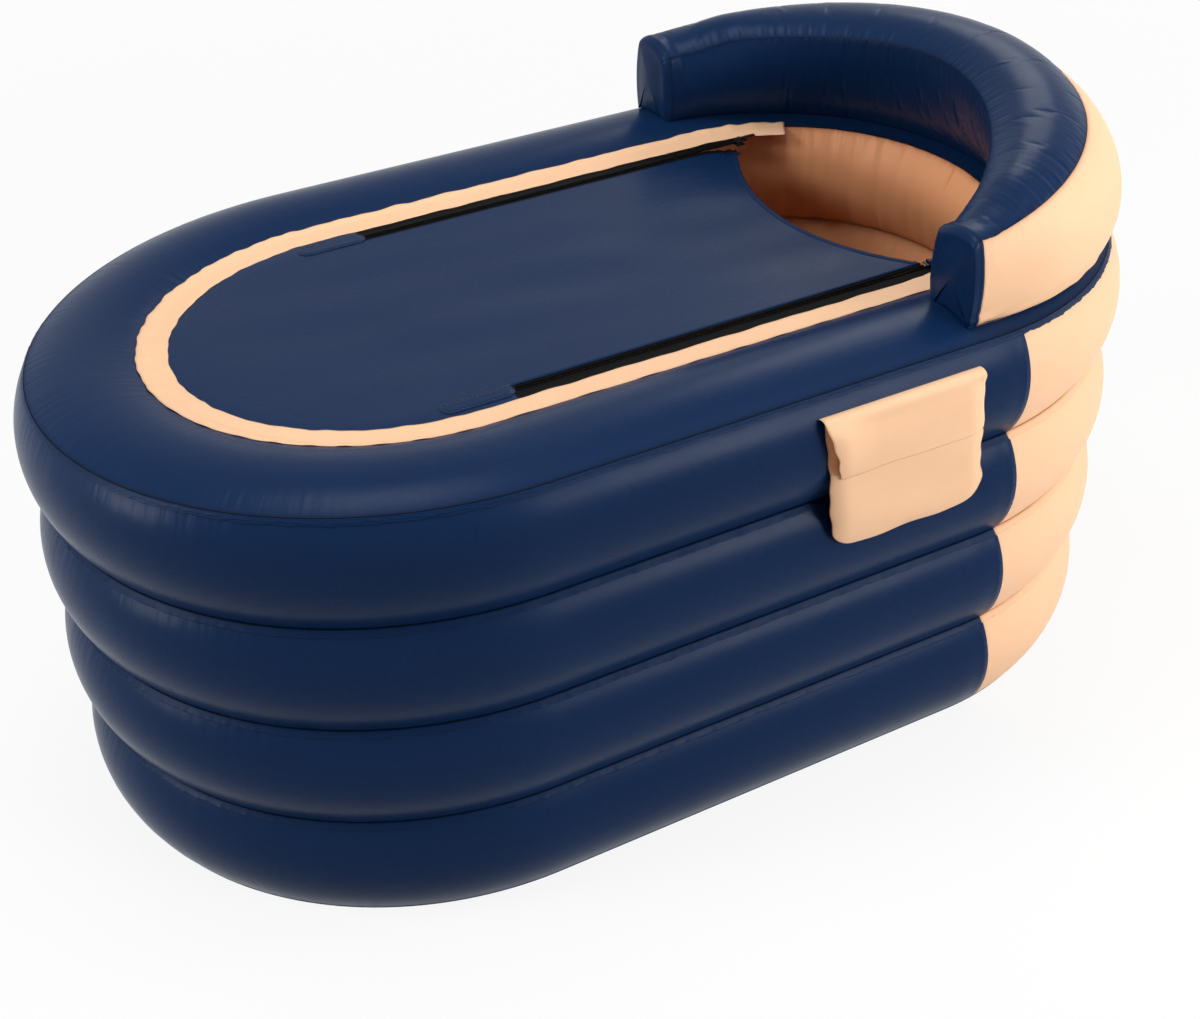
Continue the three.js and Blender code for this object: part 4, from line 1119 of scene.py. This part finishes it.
def cushion_spine(point):
    """The point of the cushion's middle line that is nearest to a point."""
    x, y = point[0] - HEAD_CENTRE, point[1]
    if x <= 0:
        return Vector((max(point[0], 0.290), math.copysign(0.333, y), 0.62))
    turn = math.atan2(y, x)
    return Vector((HEAD_CENTRE + 0.300 * math.cos(turn), 0.318 * math.sin(turn), 0.645))


# Cover


NECK_DEPTH = 0.068
COVER_HALF, COVER_REACH = HALF_WIDTH - COVER_INSET, FOOT_REACH - COVER_INSET


def neck_edge(y):
    """Where the neck cut ends the flap, at a distance from the middle line."""
    half = FLAP_EDGE_Y - 0.0003
    radius = (half * half + NECK_DEPTH * NECK_DEPTH) / (2 * NECK_DEPTH)
    return ZIP_HEAD_X - NECK_DEPTH + radius - np.sqrt(np.maximum(radius * radius - y * y, 0))


def cover_sag(x, y, depth):
    """How far the cover hangs at a place, with the shallow creases of a zipped sheet."""
    across = np.clip(1 - (y / FLAP_EDGE_Y) ** 2, 0, 1)
    foot = np.clip((x + 0.48) / 0.2, 0, 1)
    head = np.clip((0.345 - x) / 0.05, 0.35, 1)
    hollow = depth * across * foot * head
    ripple = 0.0005 * np.sin(x * 21 + 2.1 * np.sin(y * 17)) * across * foot
    ripple += 0.0003 * np.sin(y * 60 + x * 9) * across * foot
    outline = np.clip(1.25 - np.hypot(np.minimum(x - FOOT_CENTRE, 0) / COVER_REACH, y / COVER_HALF), 0, 1)
    edge = np.clip((0.32 - outline) / 0.05, 0, 1) * (x < ZIP_FOOT_X)
    return -hollow + ripple - 0.0004 * edge


def corner_droop(x, y):
    """The flap's far head corner hangs down, crumpled, where its zip ends."""
    away_x, away_y = (x - ZIP_HEAD_X) / 0.034, (y - FLAP_EDGE_Y) / 0.026
    return np.exp(-(away_x**2 + away_y**2)) * (0.0022 * np.sin(x * 390 + y * 240) - 0.0095)


class TUB_OT_cover(bpy.types.Operator):
    """Builds the navy cover with its neck cut, the hem, the peach edge strip and the patches"""

    bl_idname = "tub.cover"
    bl_label = "Cover"

    def execute(self, context):
        self.sheet(context.scene.tub_cover)
        self.hem(context.scene.tub_cover)
        self.edge_strip()
        self.patches(context.scene.tub_cover)
        return {"FINISHED"}

    def sheet(self, sizes):
        """The foot panel and the flap in one flat sheet, across the line where the cover folds."""
        shoulder = ZIP_FOOT_X - 0.0043
        inner = np.linspace(-1, 1, 73) * FLAP_EDGE_Y / COVER_HALF
        outer = np.linspace(FLAP_EDGE_Y / COVER_HALF, 1, 8)[1:]
        shares = np.concatenate([-outer[::-1], inner, outer])
        rows = []
        for turn in np.linspace(0, math.pi / 2, 44)[1:]:
            x = FOOT_CENTRE - COVER_REACH * math.cos(turn)
            rows.append([(x, COVER_HALF * math.sin(turn) * s) for s in shares])
        for x in np.linspace(FOOT_CENTRE, shoulder, 9)[1:]:
            rows.append([(x, COVER_HALF * s) for s in shares])
        points = [(FOOT_CENTRE - COVER_REACH, 0.0)] + [point for row in rows for point in row]
        wide = len(shares)
        faces = [(0, 1 + k, 2 + k) for k in range(wide - 1)]
        faces += [tuple(1 + k for k in quad) for quad in grid_faces(len(rows), wide)]
        # The flap's columns go on from the inner columns of the last row
        first = 1 + (len(rows) - 1) * wide + len(outer)
        tongue = [[first + k for k in range(len(inner))]]
        ys = inner * COVER_HALF
        ends = neck_edge(ys)
        for share in np.linspace(0, 1, 92)[1:]:
            tongue.append([len(points) + k for k in range(len(inner))])
            points += [(shoulder + (end - shoulder) * share, y) for y, end in zip(ys, ends)]
        for before, after in zip(tongue, tongue[1:]):
            faces += [(before[k], after[k], after[k + 1], before[k + 1]) for k in range(len(inner) - 1)]
        x, y = np.array(points).T
        # Near the flap's edges the finish darkens the sheet as painted shade
        edge = np.where(x > shoulder, np.minimum(np.abs(np.abs(y) - FLAP_EDGE_Y), 1.0), 1.0)
        cover = mesh_object("cover_sheet", np.stack([x, y, self.height(x, y, sizes)], 1), faces,
                            "tub_navy_sheet", x, edge + 0.003)
        close_up(cover)
        walled(cover, SHEET_WALL, upwards)
        bend(cover, "foot_cover_panel", "cover_flap", slot="navy_pvc")

    def height(self, x, y, sizes):
        return COVER_TOP + cover_sag(x, y, sizes.sag) + corner_droop(x, y)

    def hem(self, sizes):
        """The binding that is folded over the neck edge."""
        ys = np.linspace(-FLAP_EDGE_Y + 0.001, FLAP_EDGE_Y - 0.001, 160)[:, None]
        out, up = np.array([(0.0003, -0.0009), (0.0006, -0.0002), (0.0004, 0.0003), (-0.002, 0.0005),
                            (-0.0062, 0.0004), (-0.0068, -0.0001)]).T
        x = neck_edge(ys)
        level = self.height(x, ys, sizes)
        net = np.stack([x + out + 0.0002 * np.sin(ys * 300), ys + 0 * out, level + up + 0.00025], 2)
        points = net.reshape(-1, 3)
        # The hem counts as lying 4 mm from a seam, which darkens it a little: painted shade
        piece = mesh_object("neck_hem", points, grid_faces(*net.shape[:2]), "tub_navy_sheet",
                            points[:, 1], np.full(len(points), 0.004))
        give(walled(piece, 0.0004, upwards), "cover", "navy_pvc", "neck_binding")

    def edge_strip(self):
        reach = length_to(0.125, 0.248)
        strip = swept("edge_strip", "tub_peach_sheet", 12, upwards, spacing=0.0045, Seed=SEED + 60,
                      Start=reach, End=LOOP - reach, Low_inset=STRIP_OUTER, High_inset=STRIP_INNER,
                      Bottom=COVER_TOP + 0.3 * MM, Top=COVER_TOP + 0.3 * MM, Edge_spacing=0.0, Weld=0.0)
        points = points_of(strip.data)
        along = sheet_note(strip.data)[:, 0]
        x = points[:, 0] - np.clip(points[:, 0], FOOT_CENTRE, HEAD_CENTRE)
        reaches = np.where(points[:, 0] > 0, HEAD_REACH, FOOT_REACH)
        away = np.stack([x / reaches, points[:, 1] / HALF_WIDTH], 1)
        distance = np.linalg.norm(away, axis=1)
        across = np.clip((1 - distance) * HALF_WIDTH, STRIP_OUTER, STRIP_INNER)
        share = (across - STRIP_OUTER) / (STRIP_INNER - STRIP_OUTER)
        # Both cut edges wander, each in its own way
        wander = 0.0006 * np.sin(along * 71 + 1.3 * np.sin(along * 23)) + 0.0004 * np.sin(along * 163 + 1)
        other = 0.0008 * np.sin(along * 59 + 2 + 1.1 * np.sin(along * 31)) + 0.0004 * np.sin(along * 141)
        shift = blend_of(wander, other, share)
        points[:, :2] += away / np.maximum(distance, 1e-9)[:, None] * shift[:, None]
        inset = np.clip(across - shift, 0.140, RIM_INNER - 0.0001)
        ruck = 0.0009 * np.sin(along * 96 + 2 * np.sin(along * 11)) * np.exp(-((share - 0.15) / 0.35) ** 2)
        points[:, 2] += np.maximum(rim_top(inset) + 0.0006 - COVER_TOP, 0) * (across < RIM_INNER + 0.0025)
        points[:, 2] += np.maximum(ruck, 0)
        move_points(strip.data, points)
        give(walled(strip, SHEET_WALL, upwards), "tub", "peach_pvc", "cover_edge_strip")

    def patches(self, sizes):
        """The long patches with round ends over the zips' foot ends, each with its row of stitches."""
        for name in ("near", "far"):
            low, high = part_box(f"zip_{name}_patch")
            middle = np.array(((low + high) / 2)[:2])
            radius = (high.y - low.y) / 2
            straight = (high.x - low.x) / 2 - radius
            outline = []
            for side in (1, -1):
                for turn in np.radians(np.linspace(-90, 90, 15)):
                    x = straight + radius * math.cos(turn)
                    outline.append((side * x, side * radius * math.sin(turn)))
                for x in np.linspace(straight, -straight, 15)[1:-1]:
                    outline.append((side * x, side * radius))
            outline = np.array(outline)

            def row(share, lift):
                flat = drawn_in(outline, share, -straight, straight) + middle
                return np.c_[flat, COVER_TOP + cover_sag(*flat.T, sizes.sag) + lift]

            rows = [row(share, lift) for share, lift in (
                (1.0, 0.0004), (0.97, 0.0009), (0.86, 0.0011), (0.78, 0.0006), (0.70, 0.0011),
                (0.45, 0.0014), (0.2, 0.0012), (0.0, 0.0013))]
            piece = mesh_object(f"zip_{name}_end_patch", np.concatenate(rows),
                                loop_faces(len(rows) - 1, len(outline)), "tub_navy_sheet")
            close_up(piece)
            give(walled(piece, SHEET_WALL, upwards), "tub", "navy_pvc", f"zip_{name}_patch")
            stitches = rows_along(f"zip_{name}_patch_stitches", row(0.78, 0.0008), True, sizes.stitch_pitch,
                                  (sizes.stitch_length, 0.0018, 0.0012), "tub_thread")
            give(stitches, "tub", "navy_pvc")


# Things that repeat along a line, by Geometry Nodes


def row_tree():
    """The tree that lays one small rounded body after another along a line."""
    if "tub_row" in bpy.data.node_groups:
        return bpy.data.node_groups["tub_row"]
    tree, graph, size = new_tree("tub_row", (
        ("Pitch", 0.004), ("Long", 0.003), ("Wide", 0.001), ("High", 0.001), ("Unevenness", 0.08),
    ), (("Seed", 1),), source=True)
    line = graph.add("GeometryNodeMeshToCurve", None, {"Mesh": size("Geometry")})
    stops = graph.add("GeometryNodeCurveToPoints", {"mode": "LENGTH"},
                      {"Curve": line, "Length": size("Pitch")})
    turn = graph.other(stops, "Rotation")
    ball = graph.add("GeometryNodeMeshUVSphere", None, {"Segments": 8, "Rings": 5, "Radius": 0.5})
    one = graph.add("GeometryNodeTransform", None, {
        "Geometry": ball, "Scale": graph.vector(size("High"), size("Wide"), size("Long"))})
    jitter = graph.add("FunctionNodeRandomValue", {"data_type": "FLOAT"}, {
        2: 1.0 - size("Unevenness"), 3: 1.0 + size("Unevenness"), "Seed": size("Seed")}, out=1)
    laid = graph.add("GeometryNodeInstanceOnPoints", None, {
        "Points": stops, "Instance": one, "Rotation": turn, "Scale": graph.vector(jitter, jitter, jitter)})
    end_tree(graph, laid, size("Material"))
    return tree


def rows_along(name, path, closed, pitch, size, material, seed=1, unevenness=0.08):
    """Small bodies of one size along a path of points."""
    count = len(path)
    source = bpy.data.meshes.new(name + "_path")
    edges = [(k, (k + 1) % count) for k in range(count if closed else count - 1)]
    source.from_pydata([tuple(p) for p in path], edges, [])
    made = baked(name, row_tree(), {
        "Pitch": pitch, "Long": size[0], "Wide": size[1], "High": size[2], "Unevenness": unevenness,
        "Seed": seed, "Material": materials()[material]}, source)
    smooth(made)
    return made


# Zips


def hold(piece, *replaced):
    """The piece lies beside the flap and stays."""
    give(piece, "tub", "zip_black", *replaced)


def bend(piece, *replaced, slot="zip_black"):
    """The piece crosses the line where the cover folds."""
    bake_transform(piece)
    if replaced:
        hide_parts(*replaced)


class TUB_OT_zips(bpy.types.Operator):
    """Builds the tapes and teeth of both zips, and dresses the sliders and pulls"""

    bl_idname = "tub.zips"
    bl_label = "Zips"

    def execute(self, context):
        pitch = context.scene.tub_cover.tooth_pitch
        tape_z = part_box("zip_near_frame_tape")[0].z
        seat = {1: hold, -1: bend}
        for side, name in ((-1, "near"), (1, "far")):
            foot_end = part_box(f"zip_{name}_frame_tape")[0].x
            # The slider's post runs between the two tapes
            kinds = (("rail", "frame", 1, 0.0221), ("flap_rail", "flap", -1, 0.0181))
            for part, node, away, width in kinds:
                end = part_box(f"zip_{name}_{node}_tape")[1].x
                tape = self.tape(f"zip_{name}_{part}", side, (foot_end, end), (away * 0.0011, away * width),
                                 tape_z, away < 0)
                seat[away](tape, f"zip_{name}_{node}_tape")
            for part, node, away, _width in kinds:
                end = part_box(f"zip_{name}_{node}_tape")[1].x
                y = side * (ZIP_Y + away * 0.0023)
                path = np.array([(x, y, tape_z + 0.0019 + (away < 0) * corner_droop(x, y))
                                 for x in np.linspace(ZIP_FOOT_X, end - 0.001, 120)])
                teeth = rows_along(f"zip_{name}_{part}_teeth", path, False, pitch,
                                   (pitch * 0.72, 0.0027, 0.0028), "tub_zip_tape", seed=3, unevenness=0.03)
                seat[away](teeth)
            dress_node(f"zip_{name}_slider", "tub_zip_metal")
            dress_node(f"zip_{name}_pull", "tub_zip_metal")
        return {"FINISHED"}

    def tape(self, name, side, ends, edges, level, drooping):
        """A flat tape with a ridge under its teeth; edges are measured from the zip's middle."""
        near, far = edges
        ridge = np.sign(far - near)
        across, lift = np.array([
            (near, 0.0006), (near, 0.0014), (near + ridge * 0.0024, 0.0014),
            (near + ridge * 0.0034, 0.0007), ((near + far) / 2, 0.0006), (far, 0.0006)]).T
        x = np.linspace(*ends, 190)[:, None]
        y = side * (ZIP_Y + across) + 0 * x
        z = level + lift + 0.00012 * np.sin(x * 90 + across * 400) + drooping * corner_droop(x, y)
        net = np.stack([x + 0 * y, y, z], 2)
        made = mesh_object(name, net.reshape(-1, 3), grid_faces(*net.shape[:2]), "tub_zip_tape")
        face_towards(made, upwards)
        thicken(made, SHEET_WALL)
        return made


# Pocket


POCKET_DROP = 0.006


class TUB_OT_pocket(bpy.types.Operator):
    """Builds the peach pocket with its welded edge and folded-over flap"""

    bl_idname = "tub.pocket"
    bl_label = "Side pocket"

    def execute(self, context):
        low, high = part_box("pouch_back_panel")
        self.centre, self.half = (low.x + high.x) / 2, (high.x - low.x) / 2
        self.bottom, self.top = low.z, high.z - POCKET_DROP
        back = self.panel("pocket_back", self.top, lambda height, share: self.wall(height) - 0.0006)
        give(back, "tub", "peach_pvc", "pouch_back_panel")
        front = self.panel("pocket_front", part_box("pouch_front_panel")[1].z - POCKET_DROP, self.front)
        give(front, "tub", "peach_pvc", "pouch_front_panel")
        self.flap()
        return {"FINISHED"}

    def lean(self, height):
        """The pocket is welded on slightly askew, its top towards the foot."""
        return -0.016 * (height - self.bottom) / (self.top - self.bottom)

    def wall(self, height):
        """The pocket lies on the top ring above its middle, and hangs straight below it."""
        low, high = groove_inset(3), groove_inset(4)
        share = np.clip((height - (RIM_HEIGHT - RING_HEIGHT)) / RING_HEIGHT, 0, 1)
        curve = blend_of(low, high, share) - arc_rise(share, RING_HEIGHT, (low + high) / 2)
        return np.where(share > 0.5, curve - HALF_WIDTH, -HALF_WIDTH) - 0.0006

    def front(self, height, share):
        """Flat at its welded edges, swollen between them."""
        across = np.clip((1 - np.abs(share)) / 0.22, 0, 1)
        up = np.clip((height - self.bottom) / 0.034, 0, 1)
        mouth = np.clip((self.top - height) / 0.05, 0, 1)
        full = (1 - (1 - across) ** 2) * (1 - (1 - up) ** 2)
        room = 0.0052 + 0.0018 * mouth
        return self.wall(height) - 0.0014 - room * full - 0.0006 * np.sin(height * 70 + share * 3) * full

    def panel(self, name, top, y_of):
        radius = 0.030
        rise = np.linspace(0, 1, 9)
        corner = self.bottom + radius * (1 - np.cos(rise * math.pi / 2))
        heights = np.concatenate([corner, np.linspace(corner[-1], top, 30)[1:]])
        shares = np.sin(np.linspace(-1, 1, 41) * math.pi / 2)
        rows = []
        for height in heights:
            into = max(self.bottom + radius - height, 0)
            half = self.half - (radius - math.sqrt(max(radius**2 - into**2, 0)))
            # The cut edge wanders a little
            left = 0.0009 * math.sin(height * 85) + 0.0008 * math.sin(height * 190 + 1)
            right = 0.0013 * math.sin(height * 95 + 2) + 0.0010 * math.sin(height * 210)
            wander = np.where(shares < 0, left, right) * np.abs(shares) ** 6
            x = self.centre + shares * half + wander
            dip = 0.0012 * np.sin(x * 74 + 0.8) * np.clip(1 - (height - self.bottom) / 0.02, 0, 1)
            z = height + dip
            rows.append(np.stack([x + self.lean(z), y_of(np.full_like(x, height), shares), z], 1))
        net = np.array(rows)
        along = np.repeat(heights, len(shares))
        edge = np.tile((1 - np.abs(shares)) * self.half, len(heights))
        # Near its welded edges the finish darkens the panel as painted shade
        made = mesh_object(name, net.reshape(-1, 3), grid_faces(len(heights), len(shares)),
                           "tub_peach_sheet", along, edge + 0.0015, np.full(len(along), 0.3))
        face_towards(made, lambda _point: (0.0, -1.0, 0.0))
        if y_of == self.front:
            # Inside the flap's open end the front panel takes the deeper lining colour: painted shade under
            # the flap
            made.data.materials.append(materials()["tub_peach_in_shade_sheet"])
            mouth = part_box("pouch_flap")[0].z + 0.004
            columns, hem = len(shares) - 1, 7
            for face in made.data.polygons:
                face.material_index = int(face.center.z > mouth and face.index % columns < hem)
        return walled(made, SHEET_WALL)

    def flap(self):
        low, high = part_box("pouch_flap")
        half = (high.x - low.x) / 2
        hinge_y, lower, top = high.y, low.z, high.z - POCKET_DROP
        shares = np.linspace(-1, 1, 61)
        drop = np.linspace(0, 1, 30)
        rows = []
        # Distance out from the wall and height of the fold's rows
        fold = [(0.0, -0.0010), (0.0016, 0.0003), (0.0040, 0.0012), (0.0070, 0.0016), (0.0100, 0.0016),
                (0.0126, 0.0007), (0.0148, -0.0008), (0.0166, -0.0032), (0.0178, -0.0060)]
        below = top - 0.0140
        heights = below - (below - lower) * drop
        for k in range(len(fold) + len(heights)):
            down = max(k - len(fold) + 1, 0) / len(heights)
            left = 0.0125 * down**0.8 + 0.0011 * math.sin(down * 15)
            right = 0.0012 * math.sin(down * 8 + 1) - 0.0022 * down
            side = np.where(shares < 0, left, right) * np.abs(shares) ** 8
            x = self.centre + shares * half + side
            if k < len(fold):
                out, up = fold[k]
                y = np.full_like(x, hinge_y - 0.0005 - out)
                z = np.full_like(x, top + up)
            else:
                z = np.full_like(x, heights[k - len(fold)])
                inner = np.clip((x - self.centre) / self.half, -1, 1)
                open_end = np.clip((self.centre - self.half + 0.060 - x) / 0.060, 0, 1) ** 1.3
                gap = 0.0014 + 0.0095 * open_end * (1 - down**4) + 0.0012 * (1 - down) ** 2
                y = self.front(z, inner) - gap
                z = z + 0.0011 * np.sin(x * 38 + 1.9) * down**4 + 0.0005 * np.sin(x * 92) * down**4
            rows.append(np.stack([x + self.lean(z), y, z], 1))
        net = np.array(rows)
        for _ in range(2):
            net[1:-1] = 0.5 * net[1:-1] + 0.25 * (net[:-2] + net[2:])
        made = mesh_object("pocket_flap", net.reshape(-1, 3), grid_faces(len(net), len(shares)),
                           "tub_peach_sheet", np.tile(shares * half, len(net)),
                           np.full(len(net) * len(shares), 0.02))
        # The flap's reverse takes the deeper lining colour: painted shade on its underside
        walled(made, 0.0008, lambda _point: (0.0, -1.0, 0.6), "tub_peach_in_shade_sheet")
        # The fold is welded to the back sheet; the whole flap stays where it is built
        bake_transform(made)
        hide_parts("pouch_flap")


# Air floor and fittings


CHANNELS = 6


class TUB_OT_floor(bpy.types.Operator):
    """Builds the air floor's upper sheet with its long channels"""

    bl_idname = "tub.air_floor"
    bl_label = "Air floor"

    def execute(self, context):
        count, rings = 300, 46
        outline = outline_points(FLOOR_INSET, count)
        flat = np.concatenate([drawn_in(outline, 1 - (k / rings) ** 0.8) for k in range(rings + 1)])
        # Metres from the nearest weld between two channels; the finish darkens the sheet near these welds as
        # painted shade
        share = flat[:, 1] / (HALF_WIDTH - FLOOR_INSET)
        weld = np.abs(((share + 1) * CHANNELS / 2 + 0.5) % 1 - 0.5) * 0.076
        points = np.c_[flat, self.height(*flat.T)]
        # The air floor takes the deeper lining colour: painted shade inside the tub
        made = mesh_object("air_floor", points, loop_faces(rings, count), "tub_peach_in_shade_sheet",
                           flat[:, 0], weld, np.full(len(flat), 0.8))
        close_up(made)
        face_towards(made, upwards)
        valve = middle_of("floor_valve_stem")
        open_hole(made, Vector((valve.x, valve.y, 0.0353)), STOPPER_HOLE)
        give(walled(made, context.scene.tub_sheets.thickness), "tub", "peach_pvc", "floor_top_sheet")
        return {"FINISHED"}

    def height(self, x, y):
        end = np.where(x < FOOT_CENTRE, FOOT_CENTRE, np.clip(x, FOOT_CENTRE, HEAD_CENTRE))
        reach = np.where(x < FOOT_CENTRE, FOOT_REACH, HEAD_REACH)
        along = (x - end) / (reach - FLOOR_INSET)
        across = y / (HALF_WIDTH - FLOOR_INSET)
        middle = np.minimum(1, np.hypot(along, across))
        edge = np.minimum(1, (1 - middle) / 0.16)
        channel = ((across + 1) / 2 * CHANNELS) % 1
        crest = np.sqrt(np.maximum(np.sin(channel * math.pi), 0)) * np.sqrt(np.maximum(edge, 0))
        pinch = 1 - 0.04 * np.sin(x * 70) ** 2 * (1 - np.sin(channel * math.pi))
        return 0.0016 + 0.034 * crest * pinch


class TUB_OT_fittings(bpy.types.Operator):
    """Dresses the valves and the drain"""

    bl_idname = "tub.fittings"
    bl_label = "Valves and drain"

    def execute(self, context):
        for name in ("wall_valve_base", "wall_valve_membrane", "wall_valve_cap", "drain_spigot",
                     "drain_plug", "drain_cap", "backrest_valve_stem", "backrest_valve_stopper",
                     "floor_valve_stem", "floor_valve_stopper"):
            dress_node(name, "tub_fitting")
        return {"FINISHED"}


# Stage


LAMP_TARGET = Vector((0.0, 0.0, 0.45))
# Name, place, width and watts of each lamp
LAMPS = (
    ("side", (1.9, -3.7, 1.7), 1.7, 94),
    ("key", (2.8, -2.9, 2.4), 1.6, 28),
    ("low", (3.8, -1.6, 1.5), 1.4, 32),
    ("foot", (-4.0, 0.35, 1.25), 1.2, 52),
    ("left", (-3.4, 0.6, 3.0), 1.5, 58),
    ("top", (-0.3, 0.3, 4.2), 1.7, 54),
    ("over", (1.8, -1.0, 4.0), 1.4, 16),
    ("back", (2.8, 2.6, 3.2), 1.8, 26),
)


def grey(value):
    return (value, value, value, 1.0)


class TUB_OT_stage(bpy.types.Operator):
    """Builds the floor, the lights and the camera"""

    bl_idname = "tub.stage"
    bl_label = "Stage"

    def execute(self, context):
        scene = context.scene
        scene.view_settings.view_transform = "Standard"
        self.floor(scene)
        self.world(scene)
        for name, place, wide, power in LAMPS:
            lamp = bpy.data.lights.new(name, "AREA")
            lamp.shape, lamp.size, lamp.energy = "DISK", wide, power
            lit = bpy.data.objects.new("light_" + name, lamp)
            scene.collection.objects.link(lit)
            lit.location = place
            lit.rotation_euler = (LAMP_TARGET - Vector(place)).to_track_quat("-Z", "Y").to_euler()
        self.camera(scene)
        return {"FINISHED"}

    def floor(self, scene):
        size = scene.tub_stage.floor_size / 2
        mesh = bpy.data.meshes.new("stage_floor")
        corners = [(-size, -size, 0), (size, -size, 0), (size, size, 0), (-size, size, 0)]
        mesh.from_pydata(corners, [], [(0, 1, 2, 3)])
        floor = bpy.data.objects.new("stage_floor", mesh)
        scene.collection.objects.link(floor)
        graph, place = new_material("stage_white")
        seen = graph.seen()
        matt = graph.add("ShaderNodeBsdfDiffuse", None, {"Color": graph.mix(seen, grey(0.48), grey(0.86))})
        bright = graph.add("ShaderNodeEmission", None, {"Color": grey(1.0), "Strength": 1.0})
        # Near the tub the floor keeps a share of its shadow; further off it turns white
        away = graph.add("ShaderNodeVectorMath", {"operation": "LENGTH"}, {0: place}, out="Value")
        plain = (0.87 + 0.05 * (away - 1.4)).within(0.87, 1.0)
        mixed = graph.add("ShaderNodeMixShader", None, {0: seen * plain, 1: matt, 2: bright})
        graph.add("ShaderNodeOutputMaterial", None, {"Surface": mixed})
        mesh.materials.append(bpy.data.materials["stage_white"])

    def world(self, scene):
        world = scene.world or bpy.data.worlds.new("world")
        scene.world = world
        world.use_nodes = True
        world.node_tree.nodes.clear()
        graph = Graph(world.node_tree)
        parts = graph.add("ShaderNodeSeparateXYZ", None, {0: graph.add("ShaderNodeTexCoord")})
        level = 0.03 + 0.12 * graph.other(parts, "Z").most(0.0)
        soft = graph.add("ShaderNodeBackground", None, {"Color": grey(1.0), "Strength": level})
        white = graph.add("ShaderNodeBackground", None, {"Color": grey(1.0), "Strength": 1.0})
        mixed = graph.add("ShaderNodeMixShader", None, {0: graph.seen(), 1: soft, 2: white})
        graph.add("ShaderNodeOutputWorld", None, {"Surface": mixed})

    def camera(self, scene):
        """Looks at the tub as the photograph does."""
        yaw, pitch, roll = (math.radians(v) for v in (27.645, 33.261, -1.679))
        forward = Vector((math.sin(yaw) * math.cos(pitch), math.cos(yaw) * math.cos(pitch), -math.sin(pitch)))
        target, distance = Vector((0, 0, 0.3)), 2.3113
        place = target - forward * distance
        right = Vector((math.cos(yaw), -math.sin(yaw), 0))
        up = right.cross(forward)
        tilted = right * math.cos(roll) + up * math.sin(roll)
        raised = up * math.cos(roll) - right * math.sin(roll)
        turn = Matrix((tilted, raised, -forward)).transposed()
        data = bpy.data.cameras.new("camera")
        data.sensor_width, data.lens = 36.0, scene.tub_stage.lens
        data.shift_x, data.shift_y = 0.0019, -0.0550
        data.clip_start, data.clip_end = 0.05, 60
        camera = bpy.data.objects.new("camera", data)
        scene.collection.objects.link(camera)
        camera.matrix_world = Matrix.Translation(place) @ turn.to_4x4()
        scene.camera = camera


class TUB_PT_panel(bpy.types.Panel):
    """Lists the pieces of the bathtub and their sizes"""

    bl_label = "Inflatable bathtub"
    bl_idname = "TUB_PT_panel"
    bl_space_type = "VIEW_3D"
    bl_region_type = "UI"
    bl_category = "Bathtub"

    def draw(self, context):
        layout = self.layout
        for operator in OPERATORS:
            layout.operator(operator.bl_idname)
        for group in GROUPS:
            settings = getattr(context.scene, group)
            for key in settings.bl_rna.properties.keys():
                if key not in ("rna_type", "name"):
                    layout.prop(settings, key)


OPERATORS = (
    TUB_OT_wall_rings, TUB_OT_rim, TUB_OT_backrest, TUB_OT_zips, TUB_OT_cover, TUB_OT_pocket,
    TUB_OT_floor, TUB_OT_fittings, TUB_OT_stage,
)
GROUPS = {
    "tub_colours": TubColours, "tub_sheets": TubSheets, "tub_cushion": CushionSizes,
    "tub_cover": CoverSizes, "tub_stage": TubStage,
}


def register():
    for group in GROUPS.values():
        bpy.utils.register_class(group)
    for name, group in GROUPS.items():
        setattr(bpy.types.Scene, name, bpy.props.PointerProperty(type=group))
    for operator in OPERATORS:
        bpy.utils.register_class(operator)
    bpy.utils.register_class(TUB_PT_panel)


def unregister():
    bpy.utils.unregister_class(TUB_PT_panel)
    for operator in reversed(OPERATORS):
        bpy.utils.unregister_class(operator)
    for name, group in GROUPS.items():
        delattr(bpy.types.Scene, name)
        bpy.utils.unregister_class(group)


def main():
    register()
    for operator in OPERATORS:
        category, name = operator.bl_idname.split(".")
        getattr(getattr(bpy.ops, category), name)()


if __name__ == "__main__":
    main()
